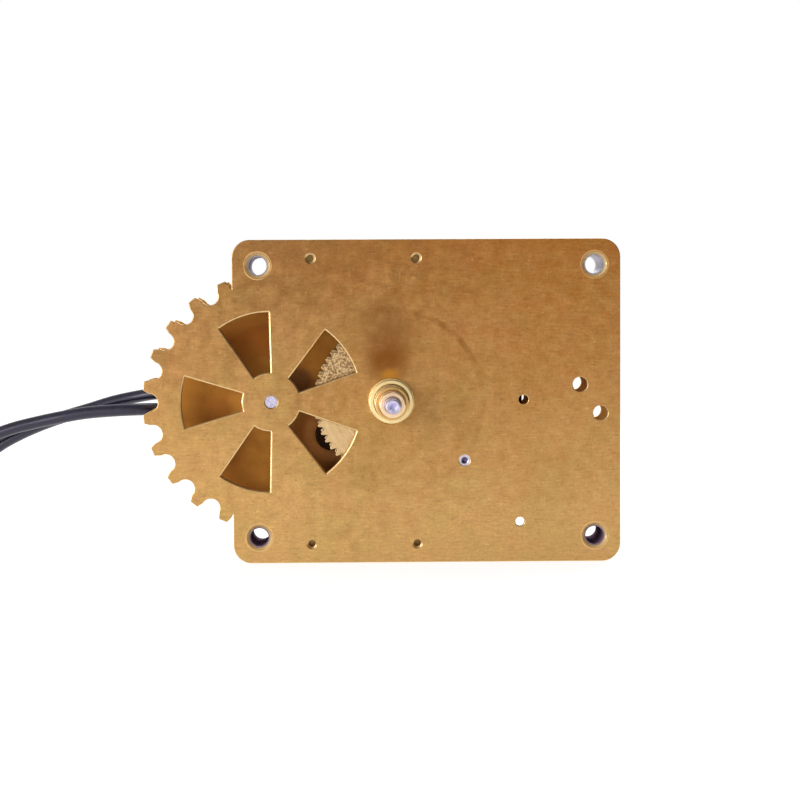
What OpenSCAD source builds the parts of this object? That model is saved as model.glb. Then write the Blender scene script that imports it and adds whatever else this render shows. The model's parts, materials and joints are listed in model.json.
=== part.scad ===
// Tower clock movement: two brass plates with a toothed left edge, the motion work
// between them, a gear motor and a position sensor behind them, and their two cables.
// The hands' axis runs along Y through the origin and the hands point to -Y. +Z is up.
// Y = 0 is the front face of the front plate. The plates stand on their bottom edges.

/* [Plates] */
// Width of each plate, without the toothed edge
plate_w = 180; // [165:1:200]
// Height of each plate
plate_h = 150; // [144:1:170]
// Thickness of each plate
plate_t = 3; // [2.5:0.1:4]
// Space between the plates
plate_gap = 25; // [24.5:0.1:32]
// Radius of the plates' corners
corner_r = 8.5; // [4:0.5:11]
// Distance of the hands' axis from the plates' left edge
axis_inset = 73.6; // [70:0.2:78]

/* [Toothed edge] */
// Teeth on the full circle of the toothed edge
edge_teeth = 24; // [20:1:28]
// Distance of the toothed edge's centre from the plates' left edge
edge_inset = 17.9; // [14:0.1:20]
// Radius over the tips of the toothed edge
edge_tip_r = 59.6; // [57:0.2:62]
// Radius of the round gullets between its teeth
gullet_r = 4.2; // [3:0.1:4.6]
// Depth of the gullets
gullet_depth = 7.2; // [5:0.1:8.5]
// Width of the flat at the tip of a tooth
edge_tip_w = 3.8; // [2:0.1:5]

/* [Windows] */
// Number of sector windows round the toothed edge's centre
window_count = 5; // [3:1:5]
// Angle that one window spans
window_span = 33.4; // [20:0.2:40]
// Inner radius of the windows
window_in_r = 13.8; // [11:0.2:20]
// Outer radius of the windows
window_out_r = 41.6; // [34:0.2:45]
// Width of the bevel round each window
window_bevel = 0.5; // [0.2:0.1:0.8]

/* [Corner sleeves] */
// Distance of the corner holes from the plates' edges
corner_inset = 12; // [11:0.5:14]
// Radius of the sleeves' bore
sleeve_bore_r = 4.2; // [3.2:0.1:4.4]
// Radius of the hole seen in the front plate
corner_hole_r = 4.7; // [4.5:0.1:5]
// Width of the bevel round that hole
corner_bevel = 1.1; // [0.4:0.1:1.3]
// Radius of the sleeves' spigots, at both ends
spigot_r = 5.5; // [5.2:0.1:6]
// Depth of the front spigot in the front plate
spigot_depth = 1.5; // [0.8:0.1:1.6]
// Radius of the sleeves between the plates
sleeve_r = 7; // [6.4:0.1:8]
// Nut size across its flats
nut_af = 16; // [14:0.5:17]
// Thickness of the nuts
nut_t = 4; // [3:0.5:5]
// Length of thread that stands out past the nuts
thread_past_nut = 0.5; // [0.2:0.1:2]

/* [Dial pillars] */
// Distance of the left pair of pillars from the plates' left edge
pillar_inset = 36.3; // [34:0.1:40]
// Distance between the two pairs of pillars
pillar_pitch = 49.1; // [47:0.1:51]
// Distance of the pillars from the plates' top and bottom edges
pillar_edge = 8.7; // [7:0.1:9]
// Radius of the tapped hole in each pillar
tap_r = 2.1; // [1.6:0.1:2.5]
// Radius of the pillars
pillar_r = 5; // [4:0.1:5.5]
// Radius of the tapped holes for the screws from the rear
rear_tap_r = 1.7; // [1.3:0.1:1.8]
// Depth of the tapped holes, from either end of a pillar
tap_depth = 9; // [6:0.5:11]
// Radius of the rear screws' heads
screw_head_r = 4.2; // [3.6:0.1:4.4]
// Height of the screws' heads
screw_head_h = 2.8; // [2:0.1:3.5]

/* [Plain holes] */
// Radius of the two holes near the right edge
right_hole_r = 3.4; // [2.5:0.1:4]
// Radius of the small sighting holes
sight_r = 2.1; // [1.5:0.1:2.5]
// Radius of the back plate's opening behind the lower sighting hole
sight_clear_r = 6.5; // [5:0.1:8]

/* [Centre post] */
// Radius of the post's slotted end in the front plate
post_end_r = 3; // [2.4:0.1:3.6]
// Radius of the post between the plates
post_r = 5; // [4.2:0.1:6]

/* [Hub] */
// Radius of the front boss
boss_r = 10.2; // [9.8:0.1:11]
// Height of the front boss
boss_h = 6; // [4:0.5:9]
// Depth of the dish in the boss's front
boss_dish = 0.5; // [0.4:0.1:2]
// Outer radius of the hour pipe
hour_pipe_r = 7.8; // [7.6:0.1:8.2]
// Reach of the hour pipe in front of the plate
hour_reach = 24; // [18:0.5:28]
// Outer radius of the minute sleeve
minute_sleeve_r = 5.8; // [5.4:0.1:6]
// Reach of the minute sleeve in front of the plate
minute_reach = 38; // [32:0.5:44]
// Radius of the centre arbor's front end
arbor_tip_r = 3.4; // [3:0.1:3.6]
// Reach of the centre arbor in front of the plate
arbor_reach = 52; // [48:0.5:60]
// Step in radius where each of the three enters the bore that carries it
journal_step = 0.2; // [0.1:0.1:0.3]

/* [Wheels] */
// Thickness of each wheel
wheel_t = 3; // [2:0.1:3.2]
// Pressure angle of all teeth
pressure_angle = 25; // [24:0.5:26]
// Module of the hour wheel and its pinion
hour_module = 1.25; // [1.2:0.01:1.27]
// Direction from the hands' axis to the motion arbor, in degrees from +X
motion_angle = -39.1; // [-42:0.1:-37]
// Module of the centre wheel and the motor's pinion
drive_module = 1.25; // [1.22:0.01:1.27]
// Direction from the hands' axis to the motor, in degrees from +X
motor_angle = 107.5; // [107:0.1:108]
// Play between teeth, along the pitch circle
backlash = 0.2; // [0.12:0.01:0.3]

/* [Arbors] */
// Radius of the centre arbor between the plates
arbor_r = 4; // [3.9:0.1:4.4]
// Radius of the centre arbor's collar
collar_r = 7; // [6:0.1:8]
// Radius of the motion arbor
motion_r = 3.5; // [3:0.1:4]
// Radius of the motion arbor's pivots
pivot_r = 2.5; // [2:0.1:2.8]
// End play of the arbors
end_play = 0.3; // [0.25:0.01:0.4]

/* [Motor] */
// Clearance from the gearbox to the heads of the pillars' screws
motor_room = 1.4; // [1:0.1:4]
// Depth of the gearbox
gearbox_h = 18; // [14:0.5:24]
// Step in radius from the gearbox down to the motor's can
can_step = 1.5; // [0.5:0.1:4]
// Depth of the can
can_h = 22; // [18:0.5:30]
// Distance of the mounting ears' holes from the gearbox's side
ear_step = 5; // [4.6:0.1:8]
// Thickness of the ears
ear_t = 2; // [1.5:0.1:3]
// Radius of the ears
ear_r = 5; // [4.2:0.1:5.5]
// Radius of the motor's shaft
motor_shaft_r = 3.5; // [3:0.1:4]
// Radius of the screws through the ears and the saddle
mount_screw_r = 2; // [1.5:0.1:2.3]

/* [Sensor] */
// Place of the sensor across the plate, from the hands' axis
sensor_x = -28.3; // [-30:0.1:-27]
// Height of the sensor, from the hands' axis
sensor_z = -16.9; // [-18:0.1:-16]
// Radius of the opening for the sensor in the back plate
sensor_hole_r = 7.5; // [7:0.1:8]
// Distance of the sensor's face in front of the back plate
sensor_proud = 1.4; // [0.5:0.1:2]
// Length of the sensor behind the back plate
sensor_tail = 19; // [16:0.5:26]
// Thickness of the sensor's flange
flange_t = 2.5; // [2:0.1:4]
// Distance of the flange's screws from the sensor's axis
flange_reach = 14; // [13:0.1:17]
// Radius of the flange's screws
flange_screw_r = 1.5; // [1:0.1:1.8]
// Radius of the magnet on the centre wheel
magnet_r = 2; // [1.5:0.1:2.4]
// Radius at which the magnet sits
magnet_at = 30; // [24:0.5:30]

/* [Cables] */
// Length of the cable saddle along the cables
saddle_l = 14; // [10:0.5:18]
// Distance of the saddle's middle from the tips of the toothed edge
saddle_inset = 25.3; // [22:0.1:27]
// Distance of the cables in the saddle behind the back plate
saddle_base_h = 11.5; // [10:0.5:12.5]
// Height of the saddle
saddle_h = 37; // [37:0.5:44]
// Thickness of the saddle's cap
cap_t = 7; // [5.5:0.5:9]
// Diameter of the round cables
cable_d = 6; // [5.6:0.1:6]
// Turns of each coil, in two layers
coil_turns = 4; // [2:2:6]
// Least radius of a coil, at the middle of the cable
coil_in_r = 26.5; // [24:0.5:30]
// Straight length between a coil and its connector
coil_exit = 28; // [28:1:40]
// Width of the connectors
plug_w = 12; // [9:0.5:12]
// Height of the connectors
plug_h = 8; // [7:0.5:10]
// Length of the connectors
plug_l = 24; // [16:1:30]

/* [Hidden] */
$fn = 64;

// Radial clearances: a running fit, a fixed fit, and a hole round something that only passes through
run_fit = 0.05;
fixed_fit = 0.02;
bevel = 0.4;

// Tooth counts: 20 to 60 and 14 to 56 give the hands their 12 to 1, and 12 to 56 drives them
cannon_teeth = 20;
minute_teeth = 60;
hour_pinion_teeth = 14;
hour_teeth = 56;
motor_teeth = 12;
centre_teeth = 56;

// Journals of the hour pipe, the minute sleeve and the centre arbor's front part
hour_journal_r = hour_pipe_r + journal_step;
minute_journal_r = minute_sleeve_r + journal_step;
arbor_journal_r = arbor_tip_r + journal_step;
shoulder_gap = 0.5;

// The boss's seat in the plate, and the width of its front rim outside the dish
boss_seat_r = boss_r + 0.3;
boss_rim = 1.9;

// Places along Y, from the front face of the front plate
front_y = plate_t;
back_y = plate_t + plate_gap;
rear_y = back_y + plate_t;
pipe_flange_t = 1.7;
hour_wheel_y = front_y + end_play + pipe_flange_t;
pipe_end_y = hour_wheel_y + wheel_t + 0.5;
pinion_over = 0.4;
minute_wheel_y = hour_wheel_y + wheel_t + pinion_over + 2.9;
sleeve_end_y = minute_wheel_y + wheel_t + 0.7;
centre_wheel_y = sleeve_end_y + 3.3;
spring_h = 1;
collar_y = centre_wheel_y + wheel_t + spring_h;
bush_flange_t = 2.2;
bush_y = back_y - bush_flange_t;

// Places in the XZ plane
left_x = -axis_inset;
right_x = plate_w - axis_inset;
top_z = plate_h / 2;
floor_z = -plate_h / 2;
edge_x = left_x + edge_inset;
corner_xs = [left_x + corner_inset, right_x - corner_inset];
corner_zs = [floor_z + corner_inset, top_z - corner_inset];
pillar_xs = [left_x + pillar_inset, left_x + pillar_inset + pillar_pitch];
pillar_zs = [floor_z + pillar_edge, top_z - pillar_edge];
right_holes = [[right_x - 18.7, 7.4], [right_x - 9.2, -5.9]];
upper_sight_inset = 44.9;
lower_sight_inset = 46.8;
lower_sight_rise = 18.7;
upper_sight = [right_x - upper_sight_inset, 0.5];
lower_sight = [right_x - lower_sight_inset, floor_z + lower_sight_rise];
motion_distance = hour_module * (hour_teeth + hour_pinion_teeth) / 2;
motion_x = motion_distance * cos(motion_angle);
motion_z = motion_distance * sin(motion_angle);
minute_module = 2 * motion_distance / (minute_teeth + cannon_teeth);
motor_distance = drive_module * (centre_teeth + motor_teeth) / 2;
motor_x = motor_distance * cos(motor_angle);
motor_z = motor_distance * sin(motor_angle);

// Teeth: addendum and dedendum in modules
addendum = 0.9;
dedendum = 1.1;
motor_hole_r = drive_module * (motor_teeth / 2 + addendum) + 0.4;
flank_steps = 3;

// Rear bush, motor shaft, blind holes for the sensor's screws, clearance round a screw's thread
rear_bush_r = 6.5;
shaft_in_gearbox = 9.6;
motor_shaft_end_y = rear_y + shaft_in_gearbox;
blind_depth = plate_t - 0.8;
thread_clear = 0.6;

// The gearbox fills the room between the pillars' screws and the rear bush
bush_room = 4.6;
nearest_pillar = min([for (x = pillar_xs) norm([x - motor_x, pillar_zs[1] - motor_z])]);
gearbox_r = min(nearest_pillar - screw_head_r, motor_distance - rear_bush_r - bush_room) - motor_room;
can_r = gearbox_r - can_step;
ear_reach = gearbox_r + ear_step;
ear_xs = [motor_x - ear_reach, motor_x + ear_reach];

// The saddle, which sits inside the toothed edge, and the cables in it
cable_r = cable_d / 2;
saddle_x = edge_x - edge_tip_r + saddle_inset;
saddle_in_x = saddle_x + saddle_l / 2;
saddle_out_x = saddle_x - saddle_l / 2;
saddle_z = -1.25;
saddle_cables = [2.5, -5];
saddle_split_y = rear_y + saddle_base_h;
saddle_screw_at = saddle_h / 2 - 4.25;
groove_gap = 0.1;
saddle_rear_y = saddle_split_y + cap_t;

// How far each lead runs straight: in the saddle and at its inner face, at the motor, at the sensor
held_in = 6;
held_run = 20;
motor_run = 30;
sensor_run = 20;
motor_exit_angle = 205;
motor_exit_y = rear_y + gearbox_h + can_h / 3;
grommet_r = 4.5;
grommet_l = 11;
gland_r = 4.5;
gland_reach = 13.5;

// Direction in which the lead leaves the motor, and the middle of its side there
exit_dir = [cos(motor_exit_angle), 0, sin(motor_exit_angle)];
motor_exit_at = [motor_x, motor_exit_y, motor_z];

// Points of the free cables, from the saddle's outer face down to their coils
motor_points = [
    [-97, 42.5, 2.5], [-104, 42.5, 2.5], [-112, 44, 2.5], [-121.5, 46, 1], [-133.5, 46.5, -1.5],
    [-145, 46.5, -5], [-157, 46.5, -8.5], [-168.5, 47, -12.5], [-180, 47.5, -17.5],
    [-190.5, 48, -23.5], [-200, 49.5, -31.5], [-209, 50.5, -40], [-217.5, 51.5, -48.5],
    [-227, 52.5, -56.5], [-237, 53.5, -62], [-247, 54, -65], [-255, 54, -65.5], [-262, 54, -65.5],
];
sensor_points = [
    [-97, 42.5, -5], [-104, 42.5, -5], [-112, 41, -5], [-121.5, 39, -5], [-133.5, 38.5, -5.5],
    [-146, 38.5, -6.5], [-158, 38.5, -8.5], [-170, 39, -11], [-182, 39, -14], [-193.5, 39, -18.5],
    [-204, 39, -25], [-213, 39, -33.5], [-221, 39, -43], [-229.5, 39, -52], [-239, 39, -60],
    [-248, 39, -64.5], [-255, 39, -65.5], [-262, 39, -65.5],
];
cable_sides = 8;
coil_sides = 6;
coil_pitch = 6.5;
rings_per_turn = 24;
half_angle = coil_turns * 180;

// Puts children that stand along +Z at a place in the XZ plane, standing along +Y from y
module along_y(x, z, y) {
    translate([x, y, z]) rotate([-90, 0, 0]) children();
}

// A plate of thickness t behind y, from an outline drawn as seen from the front
module slab(y, t) {
    translate([0, y + t, 0]) rotate([90, 0, 0]) linear_extrude(t) children();
}

// A turned piece: its profile is a list of [radius, distance behind y]
module turned(x, z, y, profile) {
    along_y(x, z, y) rotate_extrude() polygon(profile);
}

// A plain round bore or pin between two places along Y
module round_y(x, z, y0, y1, r) {
    along_y(x, z, y0) cylinder(h = y1 - y0, r = r);
}

// A bore right through a plate that starts at y
module through(x, z, y, r) {
    round_y(x, z, y - 1, y + plate_t + 1, r);
}

// Rounded rectangle of the plates, made of bars and corner discs
module plate_rectangle() {
    translate([left_x + corner_r, floor_z]) square([plate_w - 2 * corner_r, plate_h]);
    translate([left_x, floor_z + corner_r]) square([plate_w, plate_h - 2 * corner_r]);
    for (x = [left_x + corner_r, right_x - corner_r])
        for (z = [floor_z + corner_r, top_z - corner_r])
            translate([x, z]) circle(corner_r);
}

// One gullet of the toothed edge: a round bottom that opens out between two tips
module gullet() {
    seat_r = edge_tip_r - gullet_depth + gullet_r;
    half_gap = PI * edge_tip_r / edge_teeth - edge_tip_w / 2;
    slope = (half_gap - gullet_r) / (edge_tip_r - seat_r);
    past = 3;
    translate([seat_r, 0]) circle(gullet_r);
    polygon([
        [seat_r, -gullet_r], [edge_tip_r + past, -half_gap - slope * past],
        [edge_tip_r + past, half_gap + slope * past], [seat_r, gullet_r],
    ]);
}

// Half wheel on the plates' left edge; the plate's rectangle fills the gullets that fall inside it
module toothed_edge() {
    translate([edge_x, 0]) difference() {
        circle(edge_tip_r, $fn = 180);
        for (k = [0 : edge_teeth - 1]) rotate(180 + k * 360 / edge_teeth) gullet();
    }
}

// Outline that both plates share
module plate_outline() {
    plate_rectangle();
    intersection() {
        toothed_edge();
        translate([left_x - 2 * edge_tip_r, floor_z]) square([2 * edge_tip_r + corner_r, plate_h]);
    }
}

// What one window cuts out: a ring bevelled at its front, between two bevelled straight sides
module window_cut() {
    half = window_span / 2;
    deep = plate_t + 1;
    wide = 2 * window_bevel;
    intersection() {
        turned(0, 0, 0, [
            [window_in_r, deep], [window_in_r, window_bevel], [window_in_r - wide, -window_bevel],
            [window_out_r + wide, -window_bevel], [window_out_r, window_bevel], [window_out_r, deep],
        ]);
        union() {
            slab(-1, deep + 1) sector(window_out_r + 10, half);
            for (angle = [-half, half]) side_bevel(angle);
        }
    }
}

// Square bar on its edge, which bevels one straight side of a window
module side_bevel(angle) {
    size = 2 * window_bevel * sqrt(2);
    rotate([0, -angle, 0]) translate([0, -window_bevel, 0]) rotate([45, 0, 0])
        translate([0, -size / 2, -size / 2]) cube([window_out_r + 5, size, size]);
}

// Flat sector of a disc, half an angle to each side of the X axis
module sector(r, half) {
    polygon([[0, 0], [r, -r * tan(half)], [r, r * tan(half)]]);
}

// Front plate: windows, the boss's seat, sleeve seats, tapped holes and plain holes
module front_plate() {
    color([0.78, 0.6, 0.33]) difference() {
        slab(0, plate_t) plate_outline();
        for (k = [0 : window_count - 1])
            translate([edge_x, 0, 0]) rotate([0, -(k + 0.5) * 360 / window_count, 0]) window_cut();
        through(0, 0, 0, boss_seat_r + fixed_fit);
        through(edge_x, 0, 0, post_end_r + fixed_fit);
        through(motion_x, motion_z, 0, pivot_r + run_fit);
        for (x = corner_xs) for (z = corner_zs) {
            through(x, z, 0, corner_hole_r);
            turned(x, z, -corner_bevel, [[0, 0], [corner_hole_r + 2 * corner_bevel, 0],
                [corner_hole_r, 2 * corner_bevel], [0, 2 * corner_bevel]]);
            round_y(x, z, plate_t - spigot_depth, plate_t + 1, spigot_r + fixed_fit);
        }
        for (x = pillar_xs) for (z = pillar_zs) through(x, z, 0, tap_r);
        for (p = right_holes) through(p[0], p[1], 0, right_hole_r);
        through(upper_sight[0], upper_sight[1], 0, sight_r);
        through(lower_sight[0], lower_sight[1], 0, sight_r);
    }
}

// Back plate: the same outline, with the bearings, the motor's and the sensor's openings
module back_plate() {
    color([0.72, 0.53, 0.27]) difference() {
        slab(back_y, plate_t) plate_outline();
        through(0, 0, back_y, rear_bush_r + fixed_fit);
        through(edge_x, 0, back_y, post_end_r + fixed_fit);
        through(motion_x, motion_z, back_y, pivot_r + run_fit);
        through(motor_x, motor_z, back_y, motor_hole_r);
        through(sensor_x, sensor_z, back_y, sensor_hole_r);
        for (x = corner_xs) for (z = corner_zs) through(x, z, back_y, spigot_r + fixed_fit);
        for (x = pillar_xs) for (z = pillar_zs) through(x, z, back_y, rear_tap_r + thread_clear);
        for (x = ear_xs) through(x, motor_z, back_y, mount_screw_r);
        for (side = [-1, 1]) {
            through(saddle_x, saddle_z + side * saddle_screw_at, back_y, mount_screw_r);
            round_y(sensor_x, sensor_z + side * flange_reach, rear_y - blind_depth, rear_y + 1,
                flange_screw_r);
        }
        for (p = right_holes) through(p[0], p[1], back_y, right_hole_r);
        through(upper_sight[0], upper_sight[1], back_y, sight_r);
        through(lower_sight[0], lower_sight[1], back_y, sight_clear_r);
    }
}

// Steel sleeves that hold the plates apart, bored for the bolts that carry the movement
module corner_sleeves() {
    long = rear_y + nut_t + thread_past_nut;
    front = plate_t - spigot_depth;
    color([0.72, 0.72, 0.75]) for (x = corner_xs) for (z = corner_zs) difference() {
        turned(x, z, 0, [
            [0, front], [spigot_r, front], [spigot_r, front_y], [sleeve_r - bevel, front_y],
            [sleeve_r, front_y + bevel], [sleeve_r, back_y - bevel], [sleeve_r - bevel, back_y],
            [spigot_r, back_y], [spigot_r, long - bevel], [spigot_r - bevel, long], [0, long],
        ]);
        round_y(x, z, 0, long + 1, sleeve_bore_r);
    }
}

// Thin six-sided nuts on the sleeves' rear threads
module corner_nuts() {
    over_corners = nut_af / cos(30) / 2;
    color([0.72, 0.72, 0.75]) for (x = corner_xs) for (z = corner_zs) difference() {
        intersection() {
            along_y(x, z, rear_y) cylinder(h = nut_t, r = over_corners, $fn = 6);
            turned(x, z, rear_y, [
                [0, 0], [over_corners, 0], [over_corners, nut_t - 0.9], [nut_af / 2 - 0.2, nut_t], [0, nut_t],
            ]);
        }
        round_y(x, z, rear_y - 1, rear_y + nut_t + 1, spigot_r + fixed_fit);
    }
}

// Brass pillars behind the four tapped holes that take a dial's screws
module dial_pillars() {
    color([0.8, 0.62, 0.34]) for (x = pillar_xs) for (z = pillar_zs) difference() {
        turned(x, z, 0, [
            [0, front_y], [pillar_r - bevel, front_y], [pillar_r, front_y + bevel],
            [pillar_r, back_y - bevel], [pillar_r - bevel, back_y], [0, back_y],
        ]);
        round_y(x, z, front_y - 1, front_y + tap_depth, tap_r);
        round_y(x, z, back_y - tap_depth, back_y + 1, rear_tap_r);
    }
}

// A slotted cheese-head screw along Y: its head lies behind y, its shank in front
module slotted_screw(x, z, y, shank_r, shank_l, head_r, head_h) {
    slot_w = head_r * 0.28;
    difference() {
        turned(x, z, y, [
            [0, -shank_l], [shank_r - 0.3, -shank_l], [shank_r, 0.3 - shank_l], [shank_r, 0],
            [head_r, 0], [head_r, head_h - 0.5], [head_r - 0.5, head_h], [0, head_h],
        ]);
        translate([x - head_r - 1, y + head_h / 2, z - slot_w / 2])
            cube([2 * head_r + 2, head_h, slot_w]);
    }
}

// Screws from the rear into the dial pillars
module pillar_screws() {
    color([0.72, 0.72, 0.75]) for (x = pillar_xs) for (z = pillar_zs)
        slotted_screw(x, z, rear_y, rear_tap_r - fixed_fit, plate_t + tap_depth - 1, screw_head_r,
            screw_head_h);
}

// Steel post at the centre of the toothed edge, with a screwdriver slot in its front end
module centre_post() {
    slot_w = 0.9;
    color([0.75, 0.75, 0.79]) difference() {
        turned(edge_x, 0, 0, [
            [0, 0.2], [post_end_r - 0.3, 0.2], [post_end_r, 0.5], [post_end_r, front_y],
            [post_r, front_y], [post_r, back_y], [post_end_r, back_y], [post_end_r, rear_y + 0.5],
            [post_end_r - 0.5, rear_y + 1], [0, rear_y + 1],
        ]);
        translate([edge_x, 0, 0]) rotate([0, 40, 0])
            translate([-post_end_r - 1, -0.5, -slot_w / 2]) cube([2 * post_end_r + 2, 1.3, slot_w]);
    }
}

// Brass bush, pressed into the front plate, that centres a dial and carries the hour pipe. Its
// front is dished round the pipe
module front_bush() {
    bore = hour_journal_r + run_fit;
    color([0.85, 0.68, 0.38]) turned(0, 0, 0, [
        [boss_r - boss_rim, -boss_h], [boss_r - bevel, -boss_h], [boss_r, bevel - boss_h], [boss_r, 0],
        [boss_seat_r, 0], [boss_seat_r, front_y], [bore, front_y], [bore, boss_dish - boss_h],
    ]);
}

// Brass bush in the back plate for the centre arbor
module rear_bush() {
    bore = arbor_r + run_fit;
    nose_y = rear_y + 2;
    color([0.8, 0.62, 0.34]) turned(0, 0, 0, [
        [bore, bush_y], [rear_bush_r + 2.5, bush_y], [rear_bush_r + 2.5, back_y], [rear_bush_r, back_y],
        [rear_bush_r, nose_y - bevel], [rear_bush_r - bevel, nose_y], [bore + bevel, nose_y],
        [bore, nose_y - bevel],
    ]);
}

// Involute of a circle, in degrees, for a pressure angle
function involute(angle) = tan(angle) * 180 / PI - angle;

// Half the angle of a tooth at radius r, on a gear of module m with z teeth
function half_tooth(r, m, z) =
    let (pitch_r = m * z / 2, base_r = pitch_r * cos(pressure_angle))
    90 / z - backlash / 4 / pitch_r * 180 / PI + involute(pressure_angle)
        - involute(acos(min(1, base_r / max(r, base_r))));

// Points of one tooth round angle a: up one flank, across the tip and down the other
function tooth(m, z, a) =
    let (
        base_r = m * z / 2 * cos(pressure_angle),
        root_r = m * (z / 2 - dedendum),
        tip_r = m * (z / 2 + addendum),
        start_r = max(base_r, root_r),
        radii = [root_r, for (i = [0 : flank_steps]) start_r + (tip_r - start_r) * i / flank_steps],
        first = base_r > root_r ? 0 : 1
    )
    concat(
        [for (i = [first : len(radii) - 1]) polar(radii[i], a - half_tooth(radii[i], m, z))],
        [for (i = [len(radii) - 1 : -1 : first]) polar(radii[i], a + half_tooth(radii[i], m, z))]
    );
function polar(r, a) = [r * cos(a), r * sin(a)];

// Outline of a gear with a tooth at angle a
module gear_outline(m, z, a) {
    polygon([for (k = [0 : z - 1]) each tooth(m, z, a + k * 360 / z)]);
}

// A gear of thickness t behind y, with a bore, at a place in the XZ plane
module gear(x, z, y, t, m, teeth, a, bore_r) {
    difference() {
        translate([x, 0, z]) slab(y, t) gear_outline(m, teeth, a);
        round_y(x, z, y - 1, y + t + 1, bore_r);
    }
}

// Steel arbor that carries the minute hand, turns in the rear bush and ends in a slot
module centre_arbor() {
    end_y = rear_y + 5;
    collar_end = bush_y - end_play;
    shoulder_y = -minute_reach - shoulder_gap;
    color([0.78, 0.78, 0.82]) difference() {
        turned(0, 0, 0, [
            [0, -arbor_reach], [arbor_tip_r - 0.6, -arbor_reach], [arbor_tip_r, 0.6 - arbor_reach],
            [arbor_tip_r, shoulder_y], [arbor_journal_r, shoulder_y], [arbor_journal_r, sleeve_end_y],
            [arbor_r, sleeve_end_y], [arbor_r, collar_y],
            [collar_r, collar_y], [collar_r, collar_end], [arbor_r, collar_end],
            [arbor_r, end_y - bevel], [arbor_r - bevel, end_y], [0, end_y],
        ]);
        translate([-arbor_r - 1, end_y - 1.5, -0.6]) cube([2 * arbor_r + 2, 3, 1.2]);
    }
}

// Brass sleeve on the arbor, for the minute hand's hub
module minute_sleeve() {
    bore = arbor_journal_r + fixed_fit;
    shoulder_y = -hour_reach - shoulder_gap;
    color([0.85, 0.68, 0.38]) turned(0, 0, 0, [
        [bore + bevel, -minute_reach], [minute_sleeve_r - bevel, -minute_reach],
        [minute_sleeve_r, bevel - minute_reach], [minute_sleeve_r, shoulder_y],
        [minute_journal_r, shoulder_y], [minute_journal_r, sleeve_end_y],
        [bore, sleeve_end_y], [bore, bevel - minute_reach],
    ]);
}

// Pinion on the minute sleeve, with a collar that holds the hour pipe back
module cannon_pinion() {
    bore = minute_journal_r + fixed_fit;
    collar_start = pipe_end_y + end_play;
    pinion_y = minute_wheel_y - pinion_over;
    color([0.82, 0.64, 0.36]) {
        gear(0, 0, pinion_y, wheel_t + 2 * pinion_over, minute_module, cannon_teeth, motion_angle, bore);
        difference() {
            round_y(0, 0, collar_start, pinion_y + 0.5, hour_journal_r);
            round_y(0, 0, collar_start - 1, pinion_y + 2, bore);
        }
    }
}

// Wheel that the motor's pinion drives
module centre_wheel() {
    color([0.8, 0.62, 0.34]) difference() {
        gear(0, 0, centre_wheel_y, wheel_t, drive_module, centre_teeth, motor_angle, collar_r + fixed_fit);
        round_y(magnet_at, 0, centre_wheel_y + wheel_t - 1, centre_wheel_y + wheel_t + 1,
            magnet_r + fixed_fit);
    }
}

// Flanged collet that holds the centre wheel on the arbor
module centre_collet() {
    bore = arbor_r + fixed_fit;
    color([0.8, 0.62, 0.34]) turned(0, 0, 0, [
        [bore, sleeve_end_y], [collar_r, sleeve_end_y], [collar_r, centre_wheel_y - 1.5],
        [collar_r + 4, centre_wheel_y - 1.5], [collar_r + 4, centre_wheel_y], [collar_r, centre_wheel_y],
        [collar_r, centre_wheel_y + wheel_t], [bore, centre_wheel_y + wheel_t],
    ]);
}

// Dished spring washer: its rim presses on the wheel, so the hands can be set by hand
module clutch_spring() {
    rim = collar_r + 4;
    wheel_back = centre_wheel_y + wheel_t;
    t = 0.4;
    color([0.7, 0.66, 0.55]) turned(0, 0, 0, [
        [arbor_r + run_fit, collar_y - t], [rim, wheel_back], [rim, wheel_back + t],
        [collar_r, collar_y], [arbor_r + run_fit, collar_y],
    ]);
}

// Magnet in the centre wheel's rear face, which passes the sensor once an hour
module index_magnet() {
    face_y = centre_wheel_y + wheel_t;
    color([0.3, 0.3, 0.32]) round_y(magnet_at, 0, face_y - 1, face_y + 1, magnet_r);
}

// Steel arbor of the motion work, with a centred pivot in each plate
module motion_arbor() {
    color([0.78, 0.78, 0.82]) turned(motion_x, motion_z, 0, [
        [0, 1.6], [pivot_r - 0.6, 0.4], [pivot_r - 0.2, 0.2], [pivot_r, 0.4],
        [pivot_r, front_y + end_play], [motion_r, front_y + end_play], [motion_r, back_y - end_play],
        [pivot_r, back_y - end_play], [pivot_r, rear_y + 0.2], [pivot_r - 0.4, rear_y + 0.6],
        [0, rear_y + 0.6],
    ]);
}

// Wheel that the cannon pinion drives, with a hub against the hour pinion
module minute_wheel() {
    bore = motion_r + fixed_fit;
    hub_y = hour_wheel_y + wheel_t + pinion_over;
    tooth_at = motion_angle + 180 + 180 / minute_teeth;
    color([0.8, 0.62, 0.34]) {
        gear(motion_x, motion_z, minute_wheel_y, wheel_t, minute_module, minute_teeth, tooth_at, bore);
        difference() {
            round_y(motion_x, motion_z, hub_y, minute_wheel_y + 0.5, motion_r + 2.5);
            round_y(motion_x, motion_z, hub_y - 1, minute_wheel_y + 2, bore);
        }
    }
}

// Pinion on the motion arbor that drives the hour wheel
module hour_pinion() {
    tooth_at = motion_angle + 180 + 180 / hour_pinion_teeth;
    color([0.82, 0.64, 0.36])
        gear(motion_x, motion_z, hour_wheel_y - pinion_over, wheel_t + 2 * pinion_over, hour_module,
            hour_pinion_teeth, tooth_at, motion_r + fixed_fit);
}

// Wheel behind the front plate, seen through the right-hand windows
module hour_wheel() {
    color([0.86, 0.72, 0.45])
        gear(0, 0, hour_wheel_y, wheel_t, hour_module, hour_teeth, motion_angle, hour_journal_r + fixed_fit);
}

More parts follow.
